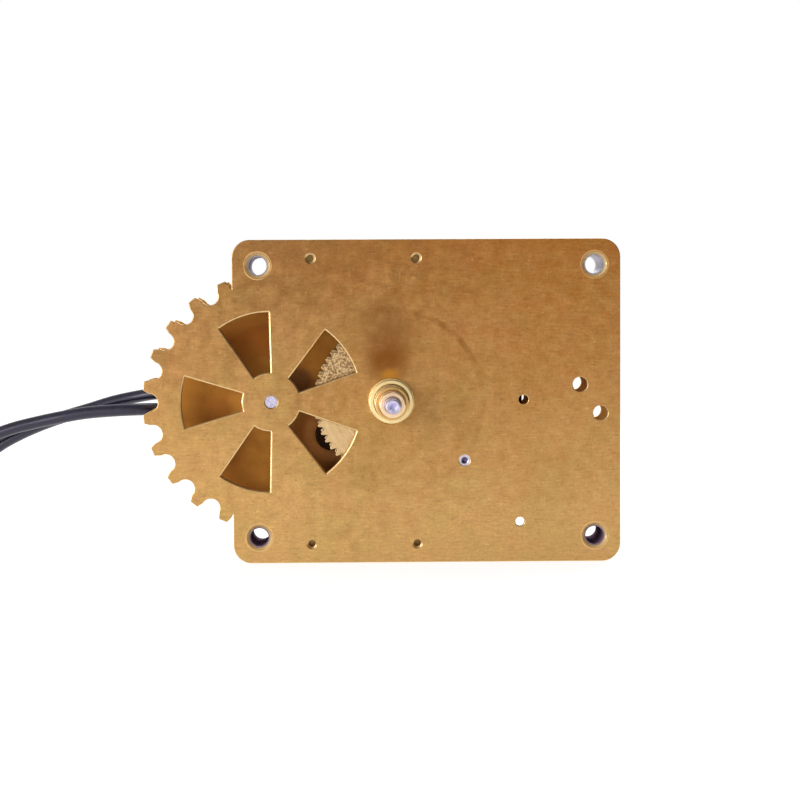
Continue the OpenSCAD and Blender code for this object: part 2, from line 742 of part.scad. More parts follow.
// Brass pipe for the hour hand's hub, with a flange behind the front plate
module hour_pipe() {
    bore = minute_journal_r + run_fit;
    flange_y = front_y + end_play;
    flange_r = hour_journal_r + 4;
    shoulder_y = -boss_h - shoulder_gap;
    color([0.85, 0.68, 0.38]) turned(0, 0, 0, [
        [bore + bevel, -hour_reach], [hour_pipe_r - bevel, -hour_reach], [hour_pipe_r, bevel - hour_reach],
        [hour_pipe_r, shoulder_y], [hour_journal_r, shoulder_y], [hour_journal_r, flange_y],
        [flange_r, flange_y], [flange_r, hour_wheel_y], [hour_journal_r, hour_wheel_y],
        [hour_journal_r, pipe_end_y], [bore, pipe_end_y],
        [bore, bevel - hour_reach],
    ]);
}

// Output shaft of the gear motor
module motor_shaft() {
    start_y = centre_wheel_y - pinion_over - 1;
    color([0.78, 0.78, 0.82]) turned(motor_x, motor_z, 0, [
        [0, start_y], [motor_shaft_r - bevel, start_y], [motor_shaft_r, start_y + bevel],
        [motor_shaft_r, motor_shaft_end_y], [0, motor_shaft_end_y],
    ]);
}

// Pinion on the motor's shaft
module motor_pinion() {
    tooth_at = motor_angle + 180 + 180 / motor_teeth;
    color([0.75, 0.75, 0.79])
        gear(motor_x, motor_z, centre_wheel_y - pinion_over, wheel_t + 2 * pinion_over, drive_module,
            motor_teeth, tooth_at, motor_shaft_r + fixed_fit);
}

// Gearbox of the motor: a boss in the back plate's opening, and two ears
module motor_gearbox() {
    boss = motor_hole_r - 0.3;
    color([0.7, 0.7, 0.72]) difference() {
        union() {
            turned(motor_x, motor_z, rear_y, [
                [0, 1 - plate_t], [boss - bevel, 1 - plate_t], [boss, 1 + bevel - plate_t], [boss, 0],
                [gearbox_r - bevel, 0], [gearbox_r, bevel], [gearbox_r, gearbox_h - 1],
                [gearbox_r - 1, gearbox_h], [0, gearbox_h],
            ]);
            slab(rear_y, ear_t) {
                translate([ear_xs[0], motor_z - ear_r]) square([2 * ear_reach, 2 * ear_r]);
                for (x = ear_xs) translate([x, motor_z]) circle(ear_r);
            }
        }
        for (x = ear_xs) round_y(x, motor_z, rear_y - 1, rear_y + ear_t + 1, mount_screw_r + 0.15);
        round_y(motor_x, motor_z, back_y - 1, motor_shaft_end_y + 0.4, motor_shaft_r + run_fit);
    }
}

// Puts children that stand along +Z at the motor's side, standing along the lead's exit
module at_motor_exit(r) {
    translate(motor_exit_at + r * exit_dir) rotate([0, 90 - motor_exit_angle, 0]) children();
}

// Drawn can of the motor, with a rolled rear edge and a low boss
module motor_can() {
    y0 = rear_y + gearbox_h;
    color([0.78, 0.78, 0.8]) difference() {
        turned(motor_x, motor_z, y0, [
            [0, 0], [can_r, 0], [can_r, can_h - 2.5], [can_r - 0.7, can_h - 0.8],
            [can_r - 2.5, can_h], [can_r - 6, can_h], [can_r - 7, can_h - 0.8],
            [9, can_h - 0.8], [8, can_h], [0, can_h],
        ]);
        at_motor_exit(can_r - 1) cylinder(h = 5, r = grommet_r + fixed_fit);
    }
}

// Tapered rubber grommet where the lead leaves the motor
module motor_grommet() {
    color([0.12, 0.12, 0.13]) at_motor_exit(can_r - 1) rotate_extrude() polygon([
        [0, 0], [grommet_r, 0], [grommet_r, 2.5], [cable_r + 0.5, grommet_l], [0, grommet_l],
    ]);
}

// Screws through the motor's ears into the back plate
module motor_screws() {
    color([0.72, 0.72, 0.75]) for (x = ear_xs)
        slotted_screw(x, motor_z, rear_y + ear_t, mount_screw_r - fixed_fit, ear_t + plate_t - 0.3,
            mount_screw_r * 1.8, 2.4);
}

// Position sensor: a round nose in the back plate, an eared flange and a side gland
module sensor_body() {
    nose_r = sensor_hole_r - 0.3;
    color([0.1, 0.1, 0.11]) difference() {
        union() {
            turned(sensor_x, sensor_z, back_y, [
                [0, -sensor_proud], [nose_r - bevel, -sensor_proud], [nose_r, bevel - sensor_proud],
                [nose_r, plate_t + sensor_tail - 1], [nose_r - 1, plate_t + sensor_tail],
                [0, plate_t + sensor_tail],
            ]);
            slab(rear_y, flange_t) {
                translate([sensor_x, sensor_z]) circle(nose_r + 2);
                translate([sensor_x - 4, sensor_z - flange_reach]) square([8, 2 * flange_reach]);
                for (side = [-1, 1]) translate([sensor_x, sensor_z + side * flange_reach]) circle(4);
            }
            translate([sensor_x - gland_reach, saddle_split_y, sensor_z]) rotate([0, 90, 0])
                cylinder(h = gland_reach, r = gland_r);
        }
        for (side = [-1, 1])
            round_y(sensor_x, sensor_z + side * flange_reach, rear_y - 1, rear_y + flange_t + 1,
                flange_screw_r + 0.15);
    }
}

// Small screws that hold the sensor's flange
module sensor_screws() {
    color([0.72, 0.72, 0.75]) for (side = [-1, 1])
        slotted_screw(sensor_x, sensor_z + side * flange_reach, rear_y + flange_t,
            flange_screw_r - fixed_fit, flange_t + blind_depth - 0.3, flange_screw_r * 1.8, 1.8);
}

// Two grooves along X for the cables, at the plane where the saddle is split
module saddle_grooves() {
    for (z = saddle_cables)
        translate([saddle_x - saddle_l, saddle_split_y, z]) rotate([0, 90, 0])
            cylinder(h = 2 * saddle_l, r = cable_r + groove_gap);
}

// Bores for the two screws of the saddle
module saddle_bores(r) {
    for (side = [-1, 1])
        round_y(saddle_x, saddle_z + side * saddle_screw_at, rear_y - 1, saddle_rear_y + 1, r);
}

// Lower half of the saddle that holds both cables, screwed to the back plate
module saddle_base() {
    color([0.15, 0.15, 0.16]) difference() {
        translate([saddle_x - saddle_l / 2, rear_y, saddle_z - saddle_h / 2])
            cube([saddle_l, saddle_split_y - rear_y, saddle_h]);
        saddle_grooves();
        saddle_bores(mount_screw_r + 0.15);
    }
}

// Cap of the saddle
module saddle_cap() {
    color([0.15, 0.15, 0.16]) difference() {
        translate([saddle_x - saddle_l / 2, saddle_split_y, saddle_z - saddle_h / 2])
            cube([saddle_l, cap_t, saddle_h]);
        saddle_grooves();
        saddle_bores(mount_screw_r + 0.15);
    }
}

// Long screws through the saddle into the back plate
module saddle_screws() {
    color([0.72, 0.72, 0.75]) for (side = [-1, 1])
        slotted_screw(saddle_x, saddle_z + side * saddle_screw_at, saddle_rear_y,
            mount_screw_r - fixed_fit, saddle_rear_y - back_y - 0.3, mount_screw_r * 1.8, 2.4);
}

// Direction of a route at point i
function unit(v) = v / norm(v);
function heading(route, i) =
    unit(route[min(i + 1, len(route) - 1)] - route[max(i - 1, 0)]);

// Ring of points round point i of a route
function ring(route, i, r, sides) =
    let (t = heading(route, i), u = unit(cross(t, [0, 0, 1])), v = cross(u, t))
    [for (k = [0 : sides - 1])
        route[i] + r * (cos((k + 0.5) * 360 / sides) * u + sin((k + 0.5) * 360 / sides) * v)];

// A round tube swept along a route as one closed surface
module swept(route, r, sides) {
    n = len(route);
    points = [for (i = [0 : n - 1]) each ring(route, i, r, sides)];
    walls = [for (i = [0 : n - 2]) for (k = [0 : sides - 1])
        let (a = i * sides + k, b = i * sides + (k + 1) % sides)
            each [[a, b, b + sides], [a, b + sides, a + sides]]];
    start = [for (k = [sides - 1 : -1 : 0]) k];
    finish = [for (k = [0 : sides - 1]) (n - 1) * sides + k];
    polyhedron(points, concat(walls, [start, finish]));
}

// Smooth curve between two ends that leave in given directions, as a route of n steps
function curve(p, p_dir, q, q_dir, n) =
    [for (i = [0 : n]) let (t = i / n, s = 1 - t)
        s * s * s * p + 3 * s * s * t * (p + p_dir) + 3 * s * t * t * (q + q_dir) + t * t * t * q];

// Lead behind the back plate, held at both ends, up to the saddle's outer face
function lead(start, start_dir, z) =
    let (held = [saddle_in_x + held_in, saddle_split_y, z])
    concat([start], curve(start + 0.15 * start_dir, 0.85 * start_dir, held, [held_run, 0, 0], 12),
        [[saddle_out_x, saddle_split_y, z]]);

// Lead from the motor to the saddle
module motor_lead() {
    start = motor_exit_at + (can_r - 1 + grommet_l) * exit_dir;
    color([0.1, 0.1, 0.12])
        swept(lead(start, motor_run * exit_dir, saddle_cables[0]), cable_r, cable_sides);
}

// Lead from the sensor to the saddle
module sensor_lead() {
    start = [sensor_x - gland_reach, saddle_split_y, sensor_z];
    color([0.1, 0.1, 0.12])
        swept(lead(start, [-sensor_run, 0, 0], saddle_cables[1]), cable_r, cable_sides);
}

// Route of a free cable: its points start at the saddle's outer face and end on a coil's upper
// layer, so they shift with the saddle and sink or rise smoothly with the floor
function free_route(points) =
    let (
        rise = coil_height(0) - points[len(points) - 1][2],
        shift = [saddle_out_x, saddle_split_y] - [points[0][0], points[0][1]]
    )
    [for (i = [0 : len(points) - 1]) let (t = i / (len(points) - 1))
        points[i] + [shift[0], shift[1], rise * t * t * (3 - 2 * t)]];
motor_route = free_route(motor_points);
sensor_route = free_route(sensor_points);

// Free stretches of the cables
module motor_cable() {
    color([0.1, 0.1, 0.12]) swept(motor_route, cable_r, cable_sides);
}
module sensor_cable() {
    color([0.1, 0.1, 0.12]) swept(sensor_route, cable_r, cable_sides);
}

// Centreline of a coil: it spirals in on the upper layer, climbs down in the half turn
// where the spiral reverses, spirals out on the floor, and runs straight to its end.
// It starts at the route's end, heading to -X, and lies to the side that side points to.
function coil_radius(a) = coil_in_r + coil_pitch * abs(a - half_angle) / 360;
function coil_height(a) =
    let (part = max(0, min(1, (a - half_angle) / 180 + 0.5)))
    floor_z + cable_r + coil_pitch * (1 + cos(180 * part)) / 2;
function coil_point(entry, side, a) =
    let (outer = coil_radius(0), r = coil_radius(a))
    [entry[0] - r * sin(a), entry[1] + side * (outer - r * cos(a)), coil_height(a)];
function coil_route(entry, side) =
    let (steps = coil_turns * rings_per_turn, last = coil_point(entry, side, 2 * half_angle))
    concat(
        [[entry[0], entry[1], coil_height(0)], [entry[0] - cable_d, entry[1], coil_height(0)]],
        [for (i = [1 : steps]) coil_point(entry - [cable_d, 0, 0], side, i * 360 / rings_per_turn)],
        [last - [2 * cable_d, 0, 0], last - [coil_exit, 0, 0]]
    );

// Least distance between the surfaces of turns that lie beside or on each other
function coil_gap(route) =
    min([for (i = [0 : len(route) - 1]) for (j = [i + rings_per_turn / 2 : 1 : len(route) - 1])
        norm(route[i] - route[j])]) - cable_d;

// Coils of the length that is put away, left of the movement
motor_coil_route = coil_route(motor_route[len(motor_route) - 1], 1);
sensor_coil_route = coil_route(sensor_route[len(sensor_route) - 1], -1);
echo(least_gap_of_a_coil = coil_gap(motor_coil_route));
module motor_coil() {
    color([0.1, 0.1, 0.12]) swept(motor_coil_route, cable_r, coil_sides);
}
module sensor_coil() {
    color([0.1, 0.1, 0.12]) swept(sensor_coil_route, cable_r, coil_sides);
}

// Rectangular connector at the end of a coil, with two rows of contacts and a latch
module connector(route) {
    end = route[len(route) - 1];
    contacts = 3;
    wall = 1.2;
    pocket = (plug_w - (contacts + 1) * wall) / contacts;
    color([0.86, 0.86, 0.84]) difference() {
        union() {
            translate([end[0] - plug_l, end[1] - plug_w / 2, floor_z]) cube([plug_l, plug_w, plug_h]);
            translate([end[0] - plug_l * 0.7, end[1] - plug_w / 6, floor_z + plug_h - 0.5])
                cube([plug_l * 0.5, plug_w / 3, 1.7]);
        }
        for (k = [0 : contacts - 1])
            translate([end[0] - plug_l - 1, end[1] - plug_w / 2 + wall + k * (pocket + wall),
                floor_z + plug_h / 2 - pocket / 2]) cube([plug_l * 0.4, pocket, pocket]);
    }
}
module motor_plug() {
    connector(motor_coil_route);
}
module sensor_plug() {
    connector(sensor_coil_route);
}

front_plate();
back_plate();
corner_sleeves();
corner_nuts();
dial_pillars();
pillar_screws();
centre_post();
front_bush();
rear_bush();
centre_arbor();
minute_sleeve();
cannon_pinion();
centre_wheel();
centre_collet();
clutch_spring();
index_magnet();
motion_arbor();
minute_wheel();
hour_pinion();
hour_wheel();
hour_pipe();
motor_shaft();
motor_pinion();
motor_gearbox();
motor_can();
motor_grommet();
motor_screws();
sensor_body();
sensor_screws();
saddle_base();
saddle_cap();
saddle_screws();
motor_lead();
sensor_lead();
motor_cable();
sensor_cable();
motor_coil();
sensor_coil();
motor_plug();
sensor_plug();
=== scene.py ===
# %% [markdown]
# # A tower clock movement in Blender
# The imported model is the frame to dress: two brass plates with their wheels, bushes and
# screws, a gear motor and a position sensor behind them, and two cables. Everything is in
# metres. The hands' axis runs along Y through the origin, and the dial is on the side of -Y.
# This script gives each part its finish, softens the edges that a tool would have broken, and
# adds the details that are too fine for the solids, such as threads and contacts.

# %% Load the frame
import json
import math

import bpy
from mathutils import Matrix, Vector

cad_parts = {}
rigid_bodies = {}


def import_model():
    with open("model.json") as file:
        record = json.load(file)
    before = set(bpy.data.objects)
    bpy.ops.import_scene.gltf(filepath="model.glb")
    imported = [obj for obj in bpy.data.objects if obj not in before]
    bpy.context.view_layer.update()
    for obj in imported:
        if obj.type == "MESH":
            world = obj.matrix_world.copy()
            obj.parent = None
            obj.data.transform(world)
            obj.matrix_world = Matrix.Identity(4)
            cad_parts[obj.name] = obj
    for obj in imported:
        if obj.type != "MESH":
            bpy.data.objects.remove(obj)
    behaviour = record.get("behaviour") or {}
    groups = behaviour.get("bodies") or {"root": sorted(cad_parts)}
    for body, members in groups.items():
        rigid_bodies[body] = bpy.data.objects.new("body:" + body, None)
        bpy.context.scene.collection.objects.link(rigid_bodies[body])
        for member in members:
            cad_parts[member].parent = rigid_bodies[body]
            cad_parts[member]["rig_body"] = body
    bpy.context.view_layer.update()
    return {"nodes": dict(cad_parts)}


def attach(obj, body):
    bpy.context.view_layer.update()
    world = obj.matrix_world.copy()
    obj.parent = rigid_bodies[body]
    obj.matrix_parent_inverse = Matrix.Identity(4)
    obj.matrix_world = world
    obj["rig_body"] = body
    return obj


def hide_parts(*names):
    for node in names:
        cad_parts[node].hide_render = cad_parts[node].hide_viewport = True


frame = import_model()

nodes = frame["nodes"]
MM = 0.001
bpy.ops.object.select_all(action="DESELECT")

# %% [markdown]
# ## The camera
# The photograph was taken from about a metre away with a long lens, so the two plates nearly
# cover each other. The small shift between the front plate, the back plate and the far ends of
# the corner sleeves tells where the camera stood: a little above the hands' axis and a little
# to its left. A long lens keeps the plate's edges parallel.

# %% Camera
CAMERA_AT = Vector((-15.5, -1018.7, 47.9)) * MM
AIM_AT = Vector((4.0, 0.0, 0.6)) * MM
CAMERA_LENS = 99.0
CAMERA_ROLL = math.radians(-0.28)

bpy.ops.object.camera_add(location=CAMERA_AT)
camera = bpy.context.object
camera.name = "camera"
camera.data.lens = CAMERA_LENS
camera.data.sensor_width = 36.0
camera.rotation_euler = (AIM_AT - CAMERA_AT).to_track_quat("-Z", "Y").to_euler()
camera.rotation_euler.rotate_axis("Z", CAMERA_ROLL)
bpy.context.scene.camera = camera
print("camera is", round((AIM_AT - CAMERA_AT).length, 3), "m from the front plate")

# %% [markdown]
# ## The cables
# Two round cables leave the saddle on the rear of the back plate, cross, and sink to the
# table. They are stiff, so they bend slowly and hold no kinks. Less than a tenth of their
# length shows in the photograph. Most of the rest lies in two neat coils outside the view,
# and each cable ends in a connector.
#
# A cable is one curve with a round bevel. Its points are few and listed, so a Catmull-Rom spline fills
# in between them: it passes through every point, which keeps the cable where the frame has its solid.

# %% Points of the free stretches, in millimetres
MOTOR_POINTS = [
    (-97, 42.5, 2.5), (-104, 42.5, 2.5), (-112, 44, 2.5), (-121.5, 46, 1), (-133.5, 46.5, -1.5),
    (-145, 46.5, -5), (-157, 46.5, -8.5), (-168.5, 47, -12.5), (-180, 47.5, -17.5),
    (-190.5, 48, -23.5), (-200, 49.5, -31.5), (-209, 50.5, -40), (-217.5, 51.5, -48.5),
    (-227, 52.5, -56.5), (-237, 53.5, -62), (-247, 54, -65), (-255, 54, -65.5), (-262, 54, -65.5),
]
SENSOR_POINTS = [
    (-97, 42.5, -5), (-104, 42.5, -5), (-112, 41, -5), (-121.5, 39, -5), (-133.5, 38.5, -5.5),
    (-146, 38.5, -6.5), (-158, 38.5, -8.5), (-170, 39, -11), (-182, 39, -14), (-193.5, 39, -18.5),
    (-204, 39, -25), (-213, 39, -33.5), (-221, 39, -43), (-229.5, 39, -52), (-239, 39, -60),
    (-248, 39, -64.5), (-255, 39, -65.5), (-262, 39, -65.5),
]

# %% Turns of a coil
CABLE_D = 6.0
COIL_PITCH = 6.5
COIL_TURNS = 4
COIL_INNER_R = 26.5
COIL_EXIT = 28.0
FLOOR_Z = -75.0
STEPS_PER_TURN = 24


def coil_points(entry, side):
    """Spiral in on the upper layer, climb down in the half turn, spiral out on the floor."""
    half = COIL_TURNS * 180
    outer = COIL_INNER_R + COIL_PITCH * half / 360
    start_x = entry[0] - CABLE_D

    def at(angle):
        r = COIL_INNER_R + COIL_PITCH * abs(angle - half) / 360
        part = max(0.0, min(1.0, (angle - half) / 180 + 0.5))
        z = FLOOR_Z + CABLE_D / 2 + COIL_PITCH * (1 + math.cos(math.pi * part)) / 2
        turn = math.radians(angle)
        return (start_x - r * math.sin(turn), entry[1] + side * (outer - r * math.cos(turn)), z)

    turns = [at(k * 360 / STEPS_PER_TURN) for k in range(COIL_TURNS * STEPS_PER_TURN + 1)]
    last = turns[-1]
    return turns + [(last[0] - reach, last[1], last[2]) for reach in (2 * CABLE_D, COIL_EXIT)]


# %% A smooth line through given points
def smooth(points, steps):
    """Catmull-Rom spline through points, in metres."""
    p = [Vector(point) * MM for point in points]
    p = [2 * p[0] - p[1], *p, 2 * p[-1] - p[-2]]
    line = []
    for a, b, c, d in zip(p, p[1:], p[2:], p[3:]):
        for k in range(steps):
            t = k / steps
            line.append(0.5 * (2 * b + (c - a) * t + (2 * a - 5 * b + 4 * c - d) * t * t
                               + (3 * b - a - 3 * c + d) * t ** 3))
    return line + [p[-2]]


def line_length(line):
    return sum((b - a).length for a, b in zip(line, line[1:]))


# %% Draw a cable
def draw_cable(name, line):
    """A round curve along line, closed at its ends."""
    bpy.ops.curve.primitive_nurbs_path_add()
    cable = bpy.context.object
    cable.name = name
    curve = cable.data
    curve.splines.clear()
    spline = curve.splines.new("POLY")
    spline.points.add(len(line) - 1)
    spline.use_smooth = True
    for point, place in zip(spline.points, line):
        point.co = (*place, 1.0)
        point.radius = CABLE_D * MM / 2
    curve.twist_mode = "MINIMUM"
    curve.bevel_depth = 1.0
    curve.bevel_resolution = 5
    curve.use_fill_caps = True
    return cable


cables = {}
for name, points, side in (("motor", MOTOR_POINTS, 1), ("sensor", SENSOR_POINTS, -1)):
    line = smooth(points + coil_points(points[-1], side), 3)
    cable = draw_cable(name + "_cable_sheath", line)
    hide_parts(name + "_cable", name + "_coil")
    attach(cable, "frame")
    cables[name] = (cable, line)
    print(name, "cable is", round(line_length(line), 3), "m long")

# %% [markdown]
# ## The leads behind the plate
# Inside the saddle the same cables run on to the motor and to the sensor, held at both ends.
# Each is drawn along the cubic curve that its solid follows, with straight ends.

# %% Ends of the leads, with the motor's and the sensor's axes as (x, z)
SADDLE_OUT_X, HELD_X = -97.0, -77.0
SPLIT_Y = 42.5
CAN_Y, CAN_LENGTH = 49.0, 22.0
MOTOR_REACH, MOTOR_TURN = 42.5, math.radians(107.5)
MOTOR = (MOTOR_REACH * math.cos(MOTOR_TURN), MOTOR_REACH * math.sin(MOTOR_TURN))
MOTOR_EXIT, MOTOR_EXIT_R = math.radians(205), 38.47
SENSOR = (-28.3, -16.9)
SENSOR_EXIT_R = 13.5

exit_way = Vector((math.cos(MOTOR_EXIT), 0, math.sin(MOTOR_EXIT)))
motor_start = Vector((MOTOR[0], CAN_Y + CAN_LENGTH / 3, MOTOR[1])) + MOTOR_EXIT_R * exit_way
sensor_start = Vector((SENSOR[0] - SENSOR_EXIT_R, SPLIT_Y, SENSOR[1]))
print("leads start at", [[round(v, 1) for v in start] for start in (motor_start, sensor_start)])

# %% Leads

def cubic(p, p_way, q, q_way, steps):
    """A cubic curve from p to q, which leaves along p_way and comes in against q_way."""
    points = []
    for k in range(steps + 1):
        t = k / steps
        s = 1 - t
        points.append(s ** 3 * p + t ** 3 * q
                      + 3 * s * s * t * (p + p_way) + 3 * s * t * t * (q + q_way))
    return points


def lead_line(start, way, z):
    held = Vector((HELD_X, SPLIT_Y, z))
    bend = cubic(start + 0.15 * way, 0.85 * way, held, Vector((20, 0, 0)), 12)
    return smooth([start, *bend, Vector((SADDLE_OUT_X, SPLIT_Y, z))], 4)


leads = []
for name, start, way, z in (
    ("motor", motor_start, 30 * exit_way, 2.5),
    ("sensor", sensor_start, Vector((-20, 0, 0)), -5),
):
    lead = draw_cable(name + "_lead_sheath", lead_line(start, way, z))
    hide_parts(name + "_lead")
    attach(lead, "frame")
    leads.append(lead)
print("leads:", [lead.name for lead in leads])

# %% [markdown]
# ## Tools for materials
# Every finish is made of shader nodes that read Object coordinates. All parts keep their
# object at the origin, so one millimetre in a pattern is one millimetre on the part. The class
# only saves typing: it holds a node tree, and most of its methods add a node and return what
# the node gives. In all cells below, s is the shader that is being built.

# %% Shader helpers
class Shader:
    """A node tree, with a method for each kind of node."""

    def __init__(self, tree):
        self.tree = tree

    def feed(self, socket, value):
        """Links a socket to another one, or gives it a fixed value."""
        if isinstance(value, bpy.types.NodeSocket):
            self.tree.links.new(value, socket)
        else:
            socket.default_value = value

    def node(self, kind, settings=(), **sockets):
        """Adds a node. Sockets are named with _ for a space, or by i and their number."""
        node = self.tree.nodes.new("ShaderNode" + kind)
        for name, value in dict(settings).items():
            setattr(node, name, value)
        for name, value in sockets.items():
            key = int(name[1:]) if name[1:].isdigit() else name.replace("_", " ")
            self.feed(node.inputs[key], value)
        return node.outputs

    def maths(self, operation, a, b=0.0):
        return self.node("Math", {"operation": operation}, i0=a, i1=b)[0]

    def plus(self, a, b):
        return self.maths("ADD", a, b)

    def minus(self, a, b):
        return self.maths("SUBTRACT", a, b)

    def most(self, a, b):
        return self.maths("MAXIMUM", a, b)

    def times(self, product, *factors):
        for factor in factors:
            product = self.maths("MULTIPLY", product, factor)
        return product

    def vector(self, operation, a, b=(0, 0, 0)):
        """A vector is the first output, a length or a product the one named Value."""
        return self.node("VectorMath", {"operation": operation}, i0=a, i1=b)

    def mix(self, factor, a, b, how="MIX"):
        return self.node("Mix", {"data_type": "RGBA", "blend_type": how}, i0=factor, i6=a, i7=b)[2]

    def ramp(self, value, low, high, to_low=0.0, to_high=1.0, soft=False):
        """Maps value from low..high to to_low..to_high, held inside them."""
        kind = {"interpolation_type": "SMOOTHSTEP" if soft else "LINEAR"}
        return self.node("MapRange", kind, Value=value, From_Min=low, From_Max=high,
                         To_Min=to_low, To_Max=to_high)[0]

    def span(self, value, low, high, to_low=0.0, to_high=1.0, soft=False):
        """The same for a distance, with low and high in millimetres."""
        return self.ramp(value, low * MM, high * MM, to_low, to_high, soft)

    def band(self, value, low, high, edge):
        """1 between low and high, 0 outside, with soft edges, all in millimetres."""
        return self.times(self.span(value, low - edge, low), self.span(value, high + edge, high))

    def here(self):
        return self.node("TexCoord")["Object"]

    def normal(self):
        return self.node("TexCoord")["Normal"]

    def axes(self, vector=None):
        """X, Y and Z of a vector, or of the place itself."""
        return self.node("SeparateXYZ", Vector=self.here() if vector is None else vector)

    def distance(self, x, z, wide=1.0, high=1.0):
        """Distance in the plates' plane from a point in mm, each axis divided by a stretch."""
        shift = self.vector("SUBTRACT", self.here(), (x * MM, 0, z * MM))[0]
        flat = self.vector("MULTIPLY", shift, (1 / wide, 0, 1 / high))[0]
        return self.vector("LENGTH", flat)["Value"]

    def noise(self, scale, detail=2.0, roughness=0.5, distortion=0.0, where=None):
        return self.node("TexNoise", Vector=self.here() if where is None else where, Scale=scale,
                         Detail=detail, Roughness=roughness, Distortion=distortion)[0]

    def effect(self, group, **inputs):
        return self.node("Group", {"node_tree": group}, Place=self.here(), **inputs)


# %% [markdown]
# An effect that several materials share is a node group. It reads the place and a few
# settings, and gives numbers that a material turns into colour, roughness or relief.

# %% Start of a group
def start_group(name, outputs, **inputs):
    group = bpy.data.node_groups.new(name, "ShaderNodeTree")
    for label, value in {"Place": (0, 0, 0), **inputs}.items():
        kind = "NodeSocketFloat" if isinstance(value, float) else "NodeSocketVector"
        label = label.replace("_", " ")
        group.interface.new_socket(name=label, in_out="INPUT", socket_type=kind).default_value = value
    for label in outputs:
        group.interface.new_socket(name=label, in_out="OUTPUT", socket_type="NodeSocketFloat")
    way_in = group.nodes.new("NodeGroupInput").outputs
    print(name, "gives", ", ".join(outputs))
    return Shader(group), way_in, group.nodes.new("NodeGroupOutput").inputs


# %% [markdown]
# ## Brushed grain
# The plates were drawn over an abrasive belt along their length. That leaves thousands of
# fine parallel lines of uneven length. A noise texture that is fine across the plate and
# coarse along it gives them, and a second, wider one groups them into bands.

# %% Grain group
s, way_in, way_out = start_group("brushed grain", ("Lines", "Bands"), Along=40.0, Across=2500.0)
for label, share, detail in (("Lines", 1.0, 2.0), ("Bands", 0.18, 3.0)):
    across = s.times(way_in["Across"], share)
    stretch = s.node("CombineXYZ", X=way_in["Along"], Y=across, Z=across)[0]
    scaled = s.vector("MULTIPLY", way_in["Place"], stretch)[0]
    s.feed(way_out[label], s.noise(1.0, detail, 0.6, where=scaled))
GRAIN = s.tree

# %% [markdown]
# ## Patina
# Brass that is handled turns uneven: broad cloudy patches, smaller blotches, a few dark
# specks where moisture sat, and bright flecks where something touched it. Three noises of
# different sizes are enough, and each material takes as much of them as it needs.

# %% Patina group
s, way_in, way_out = start_group("patina", ("Clouds", "Blotches", "Specks", "Flecks"),
                                 Cloud_size=22.0, Speck_size=620.0)
where, cloud_size = way_in["Place"], way_in["Cloud size"]
specks = s.noise(way_in["Speck size"], 1.0, where=where)
s.feed(way_out["Clouds"], s.noise(cloud_size, 3.0, 0.55, 0.4, where))
s.feed(way_out["Blotches"], s.noise(s.times(cloud_size, 6.5), 5.0, 0.65, where=where))
s.feed(way_out["Specks"], s.ramp(specks, 0.69, 0.76))
s.feed(way_out["Flecks"], s.ramp(specks, 0.255, 0.215))
PATINA = s.tree

# %% [markdown]
# ## Scratches
# Handling leaves hairline scratches that run across the grain at odd angles. Noise that is
# squeezed to long thin threads gives them when only its highest crests are kept. The group
# turns the place first, so that one group serves for every direction.

# %% Scratch group
s, way_in, way_out = start_group("scratches", ("Threads",), Angle=0.0)
turned = s.node("VectorRotate", {"rotation_type": "Y_AXIS"},
                Vector=way_in["Place"], Angle=way_in["Angle"])
squeezed = s.vector("MULTIPLY", turned[0], (95, 60, 1900))[0]
s.feed(way_out["Threads"], s.ramp(s.noise(1.0, 0.0, where=squeezed), 0.75, 0.82))
SCRATCHES = s.tree

# %% [markdown]
# ## Rubbed edges, partly painted highlight
# Every edge of a brass part was broken with a file or by years of cleaning, so it is smooth and
# bright, while the faces beside it keep their patina; the pale colour of the edges is partly this
# rubbed brass and partly painted highlight. All parts here are plates and turned pieces along Y, and
# turn about Y only. So a slanting normal means a broken edge: the mask keeps what faces neither
# straight along Y nor straight away from it. Edges that face up or to the right, away from the light
# at the lower left, take less of the pale colour, which is painted shade.

# %% Edge group
s, way_in, way_out = start_group("rubbed edges", ("Edges",), Normal=(0, 0, 0))
x, y, z = s.axes(way_in["Normal"])
facing = s.maths("ABSOLUTE", y)
leaning = s.times(s.ramp(facing, 0.02, 0.10), s.ramp(facing, 0.992, 0.95))
worn = s.ramp(s.noise(420.0, 3.0, where=way_in["Place"]), 0.3, 0.5, 0.7, 1.0)
# Painted shade: edges that face up or to the right take less of the pale edge colour.
dulled = s.plus(s.times(x, 0.6), s.times(z, 0.8))
s.feed(way_out["Edges"], s.times(leaning, s.times(worn, s.ramp(dulled, 0.0, 0.4, 1.0, 0.25))))
EDGES = s.tree

# %% [markdown]
# ## Turning marks
# A lathe leaves rings round its axis. The distance from that axis feeds a one-dimensional
# noise, so the rings differ in width and depth, and they stay round wherever the part sits.

# %% Turning group
s, way_in, way_out = start_group("turning marks", ("Rings", "Radius"), Centre=(0, 0, 0), Density=900.0)
offset = s.vector("SUBTRACT", way_in["Place"], way_in["Centre"])[0]
radius = s.vector("LENGTH", s.vector("MULTIPLY", offset, (1, 0, 1))[0])["Value"]
rings = s.node("TexNoise", {"noise_dimensions": "1D"}, W=s.times(radius, way_in["Density"]),
               Scale=1.0, Detail=2.0, Roughness=0.6)[0]
s.feed(way_out["Rings"], rings)
s.feed(way_out["Radius"], radius)
TURNING = s.tree


